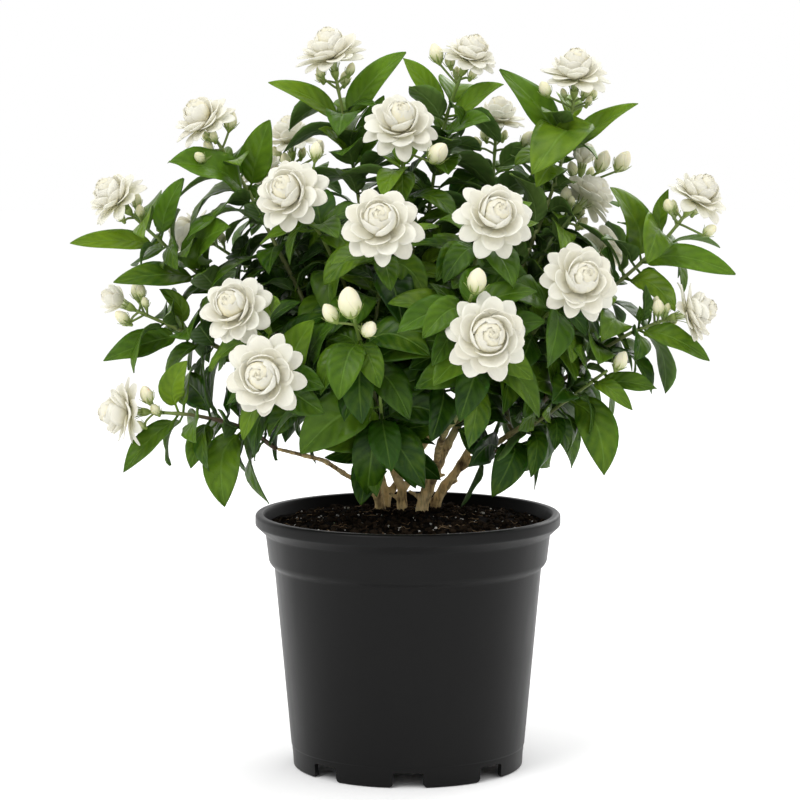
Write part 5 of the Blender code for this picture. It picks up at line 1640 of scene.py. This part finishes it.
def dress_pot(looks):
    """The turned pot with its notches and drain holes cut out."""
    outer = outer_profile()
    slope = (BODY_TOP_RADIUS - FOOT_RADIUS) / BODY_TOP
    seam = [(FOOT_RADIUS + slope * height - depth, height) for height, depth in
            ((SEAM_HEIGHT + 0.9, 0.0), (SEAM_HEIGHT + 0.4, 0.3), (SEAM_HEIGHT, 0.3))]
    outer = outer[:8] + seam + outer[9:]
    profile = [(0.3, FLOOR_TOP)] + inner_profile()[1:] + outer[:-1] + [(0.3, FLOOR_UNDERSIDE)]
    profile = [(radius, height + RIM_LIFT if height > COLLAR_TOP + 0.5 else height)
               for radius, height in profile]
    piece = Piece()
    piece.add_rings([level_ring(radius, height, POT_FACETS, -1)
                     for radius, height in rounded(profile, CORNER_ROUNDING)], 0)
    pot = piece.build("fine_pot", [looks["pot"], looks["pot_inside"]])
    cutters = []
    for number in range(FOOT_NOTCH_PAIRS):
        cutters.append(mesh_item("notch", slot_cutter(math.pi * number / FOOT_NOTCH_PAIRS)))
    for number in range(DRAIN_HOLES):
        angle = math.tau * (number + 0.5) / DRAIN_HOLES
        centre = (DRAIN_CIRCLE * math.cos(angle), DRAIN_CIRCLE * math.sin(angle))
        cutters.append(mesh_item("drain", prism(centre, DRAIN_RADIUS, 5.0, 13.0, 32)))
    group = bpy.data.collections.new("cutters")
    for item in cutters:
        group.objects.link(item)
    step = pot.modifiers.new("cut", "BOOLEAN")
    step.operation = "DIFFERENCE"
    step.operand_type = "COLLECTION"
    step.collection = group
    step.solver = "EXACT"
    mesh = evaluate(pot)
    for item in cutters:
        bpy.data.objects.remove(item, do_unlink=True)
    bpy.data.collections.remove(group)
    mesh.shade_smooth()
    mesh.set_sharp_from_angle(angle=math.radians(40))
    for face in mesh.polygons:
        x, y, z = face.center
        if z > INNER_WALL_FOOT * MM and math.hypot(x, y) < INNER_WALL_RADIUS * MM:
            face.material_index = 1
    hand_in(pot, "pot", "nursery_pot")


# Shaders

class Shader:
    """A material with one Principled BSDF, and short ways to add nodes to it."""

    def __init__(self, name):
        self.made = bpy.data.materials.new(name)
        self.made.use_nodes = True
        self.tree = self.made.node_tree
        self.surface = self.tree.nodes["Principled BSDF"]

    def put(self, socket, value):
        if isinstance(value, bpy.types.NodeSocket):
            self.tree.links.new(value, socket)
        elif isinstance(value, tuple) and len(value) == 3 and len(socket.default_value) == 4:
            socket.default_value = (*value, 1.0)
        else:
            socket.default_value = value

    def node(self, kind, inputs=()):
        """A new node with the inputs given as pairs of name or number and value."""
        node = self.tree.nodes.new("ShaderNode" + kind)
        for name, value in inputs:
            self.put(node.inputs[name], value)
        return node

    def math(self, operation, first, second=0.0, clamp=False):
        node = self.node("Math", ((0, first), (1, second)))
        node.operation = operation
        node.use_clamp = clamp
        return node.outputs[0]

    def times(self, first, second):
        return self.math("MULTIPLY", first, second)

    def plus(self, first, second, clamp=False):
        return self.math("ADD", first, second, clamp)

    def minus(self, first, second):
        return self.math("SUBTRACT", first, second)

    def note(self, name):
        """The three numbers that a piece's points carry under this name."""
        node = self.node("Attribute")
        node.attribute_name = name
        return self.parts(node.outputs["Vector"])

    def parts(self, vector):
        return self.node("SeparateXYZ", ((0, vector),)).outputs

    def place(self, scale=(1.0, 1.0, 1.0)):
        spot = self.node("TexCoord").outputs["Object"]
        return self.node("Mapping", (("Vector", spot), ("Scale", scale))).outputs[0]

    def noise(self, scale, detail=3.0, roughness=0.5, vector=None):
        return self.node("TexNoise", (("Vector", vector or self.place()), ("Scale", scale),
                                      ("Detail", detail), ("Roughness", roughness))).outputs[0]

    def between(self, value, low, high, start=0.0, end=1.0):
        """Start below the low value, end above the high one and an even change between them."""
        return self.node("MapRange", (("Value", value), ("From Min", low), ("From Max", high),
                                      ("To Min", start), ("To Max", end))).outputs[0]

    def mix(self, share, first, second):
        node = self.node("Mix", ((0, share), (6, first), (7, second)))
        node.data_type = "RGBA"
        return node.outputs[2]

    def dress(self, colour, roughness, normal=None, specular=None, soft=None):
        """Sets the surface's values, of which the last three may be left as they are."""
        self.put(self.surface.inputs["Base Color"], colour)
        self.put(self.surface.inputs["Roughness"], roughness)
        if normal is not None:
            self.put(self.surface.inputs["Normal"], normal)
        if specular is not None:
            self.put(self.surface.inputs["Specular IOR Level"], specular)
        if soft is not None:
            self.put(self.surface.inputs["Subsurface Weight"], soft[0])
            self.put(self.surface.inputs["Subsurface Radius"], soft[1])
            self.put(self.surface.inputs["Subsurface Scale"], 1.0)
        return self.made

    def let_through(self, colour, share):
        """Thin stuff that passes a share of the light on to its other side."""
        thin = self.node("BsdfTranslucent", (("Color", colour),)).outputs[0]
        both = self.node("MixShader", ((0, share), (1, self.surface.outputs[0]), (2, thin)))
        self.put(self.tree.nodes["Material Output"].inputs["Surface"], both.outputs[0])

    def bump(self, height, distance, strength=1.0, normal=None):
        node = self.node("Bump", (("Height", height), ("Distance", distance), ("Strength", strength)))
        if normal is not None:
            self.put(node.inputs["Normal"], normal)
        return node.outputs[0]


def leaf_look():
    """Glossy dark to mid green, darker with painted shade deep in the bush and lighter with painted light on
    the upper and outer leaves; quilted between paired side veins, with painted light on the puffs and painted
    shade in the vein creases; a duller, paler underside.
    """
    shader = Shader("glossy_leaf")
    across, along, under = shader.note("blade")
    youth_and_painted_light, own, _spare = shader.note("tint")
    off = shader.math("ABSOLUTE", across)
    midrib = shader.between(off, 0.02, 0.085, 1.0, 0.0)
    row = shader.minus(shader.times(along, 5.6), shader.times(off, 1.5))
    row = shader.plus(row, shader.times(shader.noise(90.0), 1.1))
    gap = shader.math("PINGPONG", row, 0.5)
    puffed = shader.between(gap, 0.0, 0.42)
    vein = shader.between(gap, 0.02, 0.10, 1.0, 0.0)
    vein = shader.times(vein, shader.between(off, 0.5, 0.95, 1.0, 0.2))
    patch = shader.noise(60.0, 4.0, 0.6)
    # Painted light on the puffed parts between side veins and painted shade in the vein creases
    painted_quilt_light_and_shade = shader.times(shader.minus(puffed, 0.5), shader.between(off, 0.8, 1.0, 0.17, 0.04))
    # Dark end for old leaves and painted shade, light end for young leaves and painted light
    old_and_shaded_green = shader.mix(own, (0.006, 0.026, 0.001), (0.020, 0.062, 0.003))
    young = shader.mix(own, (0.070, 0.158, 0.008), (0.165, 0.265, 0.014))
    tone = shader.plus(youth_and_painted_light, shader.between(patch, 0.3, 0.7, -0.26, 0.26))
    tone = shader.plus(tone, painted_quilt_light_and_shade, clamp=True)
    green = shader.mix(tone, old_and_shaded_green, young)
    green = shader.mix(shader.times(vein, 0.06), green, (0.12, 0.24, 0.035))
    green = shader.mix(shader.times(midrib, 0.26), green, (0.17, 0.30, 0.05))
    back = shader.mix(tone, (0.040, 0.088, 0.018), (0.13, 0.21, 0.05))
    back = shader.mix(shader.times(midrib, 0.6), back, (0.22, 0.34, 0.10))
    rough = shader.between(shader.noise(150.0), 0.3, 0.7, 0.26, 0.44)
    rough = shader.plus(rough, shader.times(under, 0.25))
    normal = shader.bump(shader.minus(puffed, shader.times(midrib, 1.5)), 0.0004, 0.48)
    normal = shader.bump(shader.noise(900.0, 2.0), 0.00008, 0.4, normal)
    return shader.dress(shader.mix(under, green, back), rough, normal, 0.14,
                        (0.12, (0.0006, 0.0012, 0.0002)))


def stem_look():
    """Fresh green stems that turn brown towards their foot."""
    shader = Shader("green_stem")
    _across, along, _side = shader.note("blade")
    _youth, own, brown = shader.note("tint")
    share = shader.math("MULTIPLY", shader.between(along, 0.05, 0.85, 1.0, 0.0), brown, True)
    share = shader.plus(share, shader.between(shader.noise(160.0), 0.3, 0.7, -0.15, 0.15), clamp=True)
    green = shader.mix(own, (0.12, 0.19, 0.030), (0.19, 0.25, 0.055))
    colour = shader.mix(share, green, (0.075, 0.045, 0.022))
    return shader.dress(colour, 0.5, shader.bump(shader.noise(700.0), 0.0001, 0.6))


def calyx_look():
    shader = Shader("green_calyx")
    along = shader.note("blade")[1]
    green = shader.mix(along, (0.17, 0.25, 0.045), (0.30, 0.37, 0.11))
    return shader.dress(shader.mix(shader.noise(300.0), green, (0.22, 0.29, 0.06)), 0.5)


def petal_look():
    """Soft warm white, creamier towards the foot and in the heart, with faint lengthwise veins."""
    shader = Shader("white_petal")
    across, along, _under = shader.note("blade")
    layer, own, _spare = shader.note("tint")
    foot = shader.between(along, 0.1, 0.72, 1.0, 0.0)
    heart = shader.between(layer, 0.45, 1.0, 0.0, 0.45)
    white = shader.mix(own, (0.885, 0.868, 0.785), (0.945, 0.936, 0.868))
    cream = shader.mix(layer, (0.93, 0.905, 0.69), (0.97, 0.912, 0.66))
    shade = shader.plus(shader.times(foot, 0.8), heart, clamp=True)
    colour = shader.mix(shade, white, cream)
    veins = shader.math("SINE", shader.plus(shader.times(across, 26.0), shader.noise(120.0)))
    normal = shader.bump(shader.noise(260.0, 3.0), 0.0003, 0.35)
    shader.let_through(colour, 0.42)
    return shader.dress(colour, 0.52, shader.bump(veins, 0.00005, 0.35, normal), 0.25)


def tube_look():
    shader = Shader("petal_tube")
    along = shader.note("blade")[1]
    return shader.dress(shader.mix(along, (0.42, 0.50, 0.20), (0.80, 0.80, 0.60)), 0.5)


def bud_look():
    """Cream buds, green at the foot and greener while small, with winding seams."""
    shader = Shader("cream_bud")
    across, along, _side = shader.note("blade")
    grown = shader.note("tint")[0]
    pale = shader.mix(grown, (0.62, 0.62, 0.36), (0.76, 0.72, 0.53))
    low = shader.mix(grown, (0.32, 0.41, 0.12), (0.46, 0.50, 0.22))
    colour = shader.mix(shader.between(along, 0.1, 0.6, 1.0, 0.0), pale, low)
    seam = shader.math("PINGPONG", shader.plus(shader.times(across, 1.5), along), 0.5)
    normal = shader.bump(shader.between(seam, 0.0, 0.08), 0.0003, 0.6)
    return shader.dress(colour, 0.48, normal, soft=(0.3, (0.0015, 0.0012, 0.0006)))


def bark_look():
    """Tan-brown ridged bark that turns green on the upper limbs."""
    shader = Shader("ridged_bark")
    ridges = shader.noise(420.0, 6.0, 0.65, shader.place((1.0, 1.0, 0.22)))
    blotch = shader.noise(110.0, 4.0)
    brown = shader.mix(shader.between(ridges, 0.38, 0.56), (0.11, 0.064, 0.024), (0.72, 0.52, 0.23))
    brown = shader.mix(shader.between(blotch, 0.45, 0.66, 0.0, 0.8), brown, (0.85, 0.67, 0.35))
    brown = shader.mix(shader.between(blotch, 0.30, 0.42, 0.75, 0.0), brown, (0.07, 0.042, 0.018))
    level = shader.plus(shader.parts(shader.place())[2], shader.times(blotch, 0.03))
    fresh = shader.between(level, 0.172, 0.200, 0.0, 0.9)
    colour = shader.mix(fresh, brown, (0.11, 0.17, 0.045))
    return shader.dress(colour, 0.85, shader.bump(ridges, 0.0006, 0.9))


def soil_look(name, dark, light, roughness=0.95):
    """Rough matt stuff that varies between two colours from grain to grain."""
    shader = Shader(name)
    own = shader.note("tint")[0]
    patch = shader.plus(shader.noise(380.0, 6.0, 0.7), shader.times(own, 0.35))
    normal = shader.bump(shader.noise(900.0, 5.0, 0.7), 0.0008)
    return shader.dress(shader.mix(shader.between(patch, 0.42, 0.95), dark, light), roughness, normal, 0.02)


def pot_look(name, sheen):
    """Black plastic with a satin sheen and faint wear."""
    shader = Shader(name)
    cloud = shader.noise(14.0, 4.0)
    colour = shader.mix(cloud, (0.0022, 0.0022, 0.0022), (0.0042, 0.0042, 0.0042))
    scuff = shader.noise(60.0, 6.0, 0.65, shader.place((1.0, 1.0, 0.25)))
    normal = shader.bump(shader.noise(2200.0, 2.0), 0.00004, 0.4)
    normal = shader.bump(cloud, 0.0004, 0.25, normal)
    return shader.dress(colour, shader.between(scuff, 0.3, 0.75, 0.34, 0.46), normal, sheen)


# Stage

def soft_light(name, spot, target, size, power):
    """A square lamp at a spot, turned toward its target."""
    lamp = bpy.data.lights.new(name, "AREA")
    lamp.shape = "RECTANGLE"
    lamp.size = lamp.size_y = size
    lamp.energy = power
    item = new_item(name, lamp)
    item.location = spot
    item.rotation_euler = (Vector(target) - Vector(spot)).to_track_quat("-Z", "Y").to_euler()


def set_stage():
    """A pale floor, soft light from all round and the camera at the photograph's place."""
    world = bpy.data.worlds.new("soft_white")
    world.use_nodes = True
    world.node_tree.nodes["Background"].inputs["Color"].default_value = (1.0, 1.0, 1.0, 1.0)
    world.node_tree.nodes["Background"].inputs["Strength"].default_value = WORLD_STRENGTH
    bpy.context.scene.world = world
    bm = bmesh.new()
    bmesh.ops.create_grid(bm, x_segments=1, y_segments=1, size=FLOOR_REACH)
    floor = mesh_item("floor", bm)
    floor.location.z = -FLOOR_DROP * MM
    floor.data.materials.append(Shader("pale_floor").dress((1.0, 1.0, 1.0), 0.9, specular=0.0))
    soft_light("key", (-0.9, -1.1, 1.5), (0.0, 0.0, 0.22), 0.9, KEY_POWER)
    soft_light("top", (0.3, -0.1, 1.8), (0.0, 0.0, 0.2), 1.2, TOP_POWER)
    soft_light("back", (0.7, 1.2, 1.0), (0.0, 0.0, 0.27), 1.2, BACK_POWER)
    camera = bpy.data.cameras.new("camera")
    camera.lens = LENS
    camera.sensor_width = 36.0
    camera.clip_end = 50.0
    item = new_item("camera", camera)
    item.location = (VIEW_ACROSS * MM, -VIEW_DISTANCE * MM, VIEW_HEIGHT * MM)
    item.rotation_euler = (math.radians(90.0 - CAMERA_PITCH), 0.0, 0.0)
    bpy.context.scene.camera = item
    bpy.context.scene.view_settings.view_transform = "Standard"
    bpy.context.scene.view_settings.exposure = 0.0


def main():
    """Dresses every solid, then sets the stage."""
    looks = {
        "leaf": leaf_look(), "stem": stem_look(), "calyx": calyx_look(), "petal": petal_look(),
        "tube": tube_look(), "bud": bud_look(), "bark": bark_look(),
        "pot": pot_look("satin_black_plastic", 0.15), "pot_inside": pot_look("dull_black_plastic", 0.04),
        "soil": soil_look("dark_soil", (0.0006, 0.0005, 0.0004), (0.0065, 0.0046, 0.0032)),
        "crumb": soil_look("soil_crumb", (0.0009, 0.0007, 0.0005), (0.032, 0.022, 0.014)),
        "perlite": soil_look("perlite", (0.36, 0.35, 0.32), (0.72, 0.70, 0.66), 0.7),
        "fibre": soil_look("root_fibre", (0.08, 0.05, 0.028), (0.30, 0.21, 0.12)),
    }
    dress_pot(looks)
    dress_soil(looks)
    for name, keys in LIMB_GROUPS.items():
        dress_limbs(name, keys, looks)
    for key in BLOOMS:
        dress_bloom(key, looks)
    shoots = lay_out()
    for shoot in shoots.values():
        dress_shoot(shoot, looks)
    set_stage()


main()
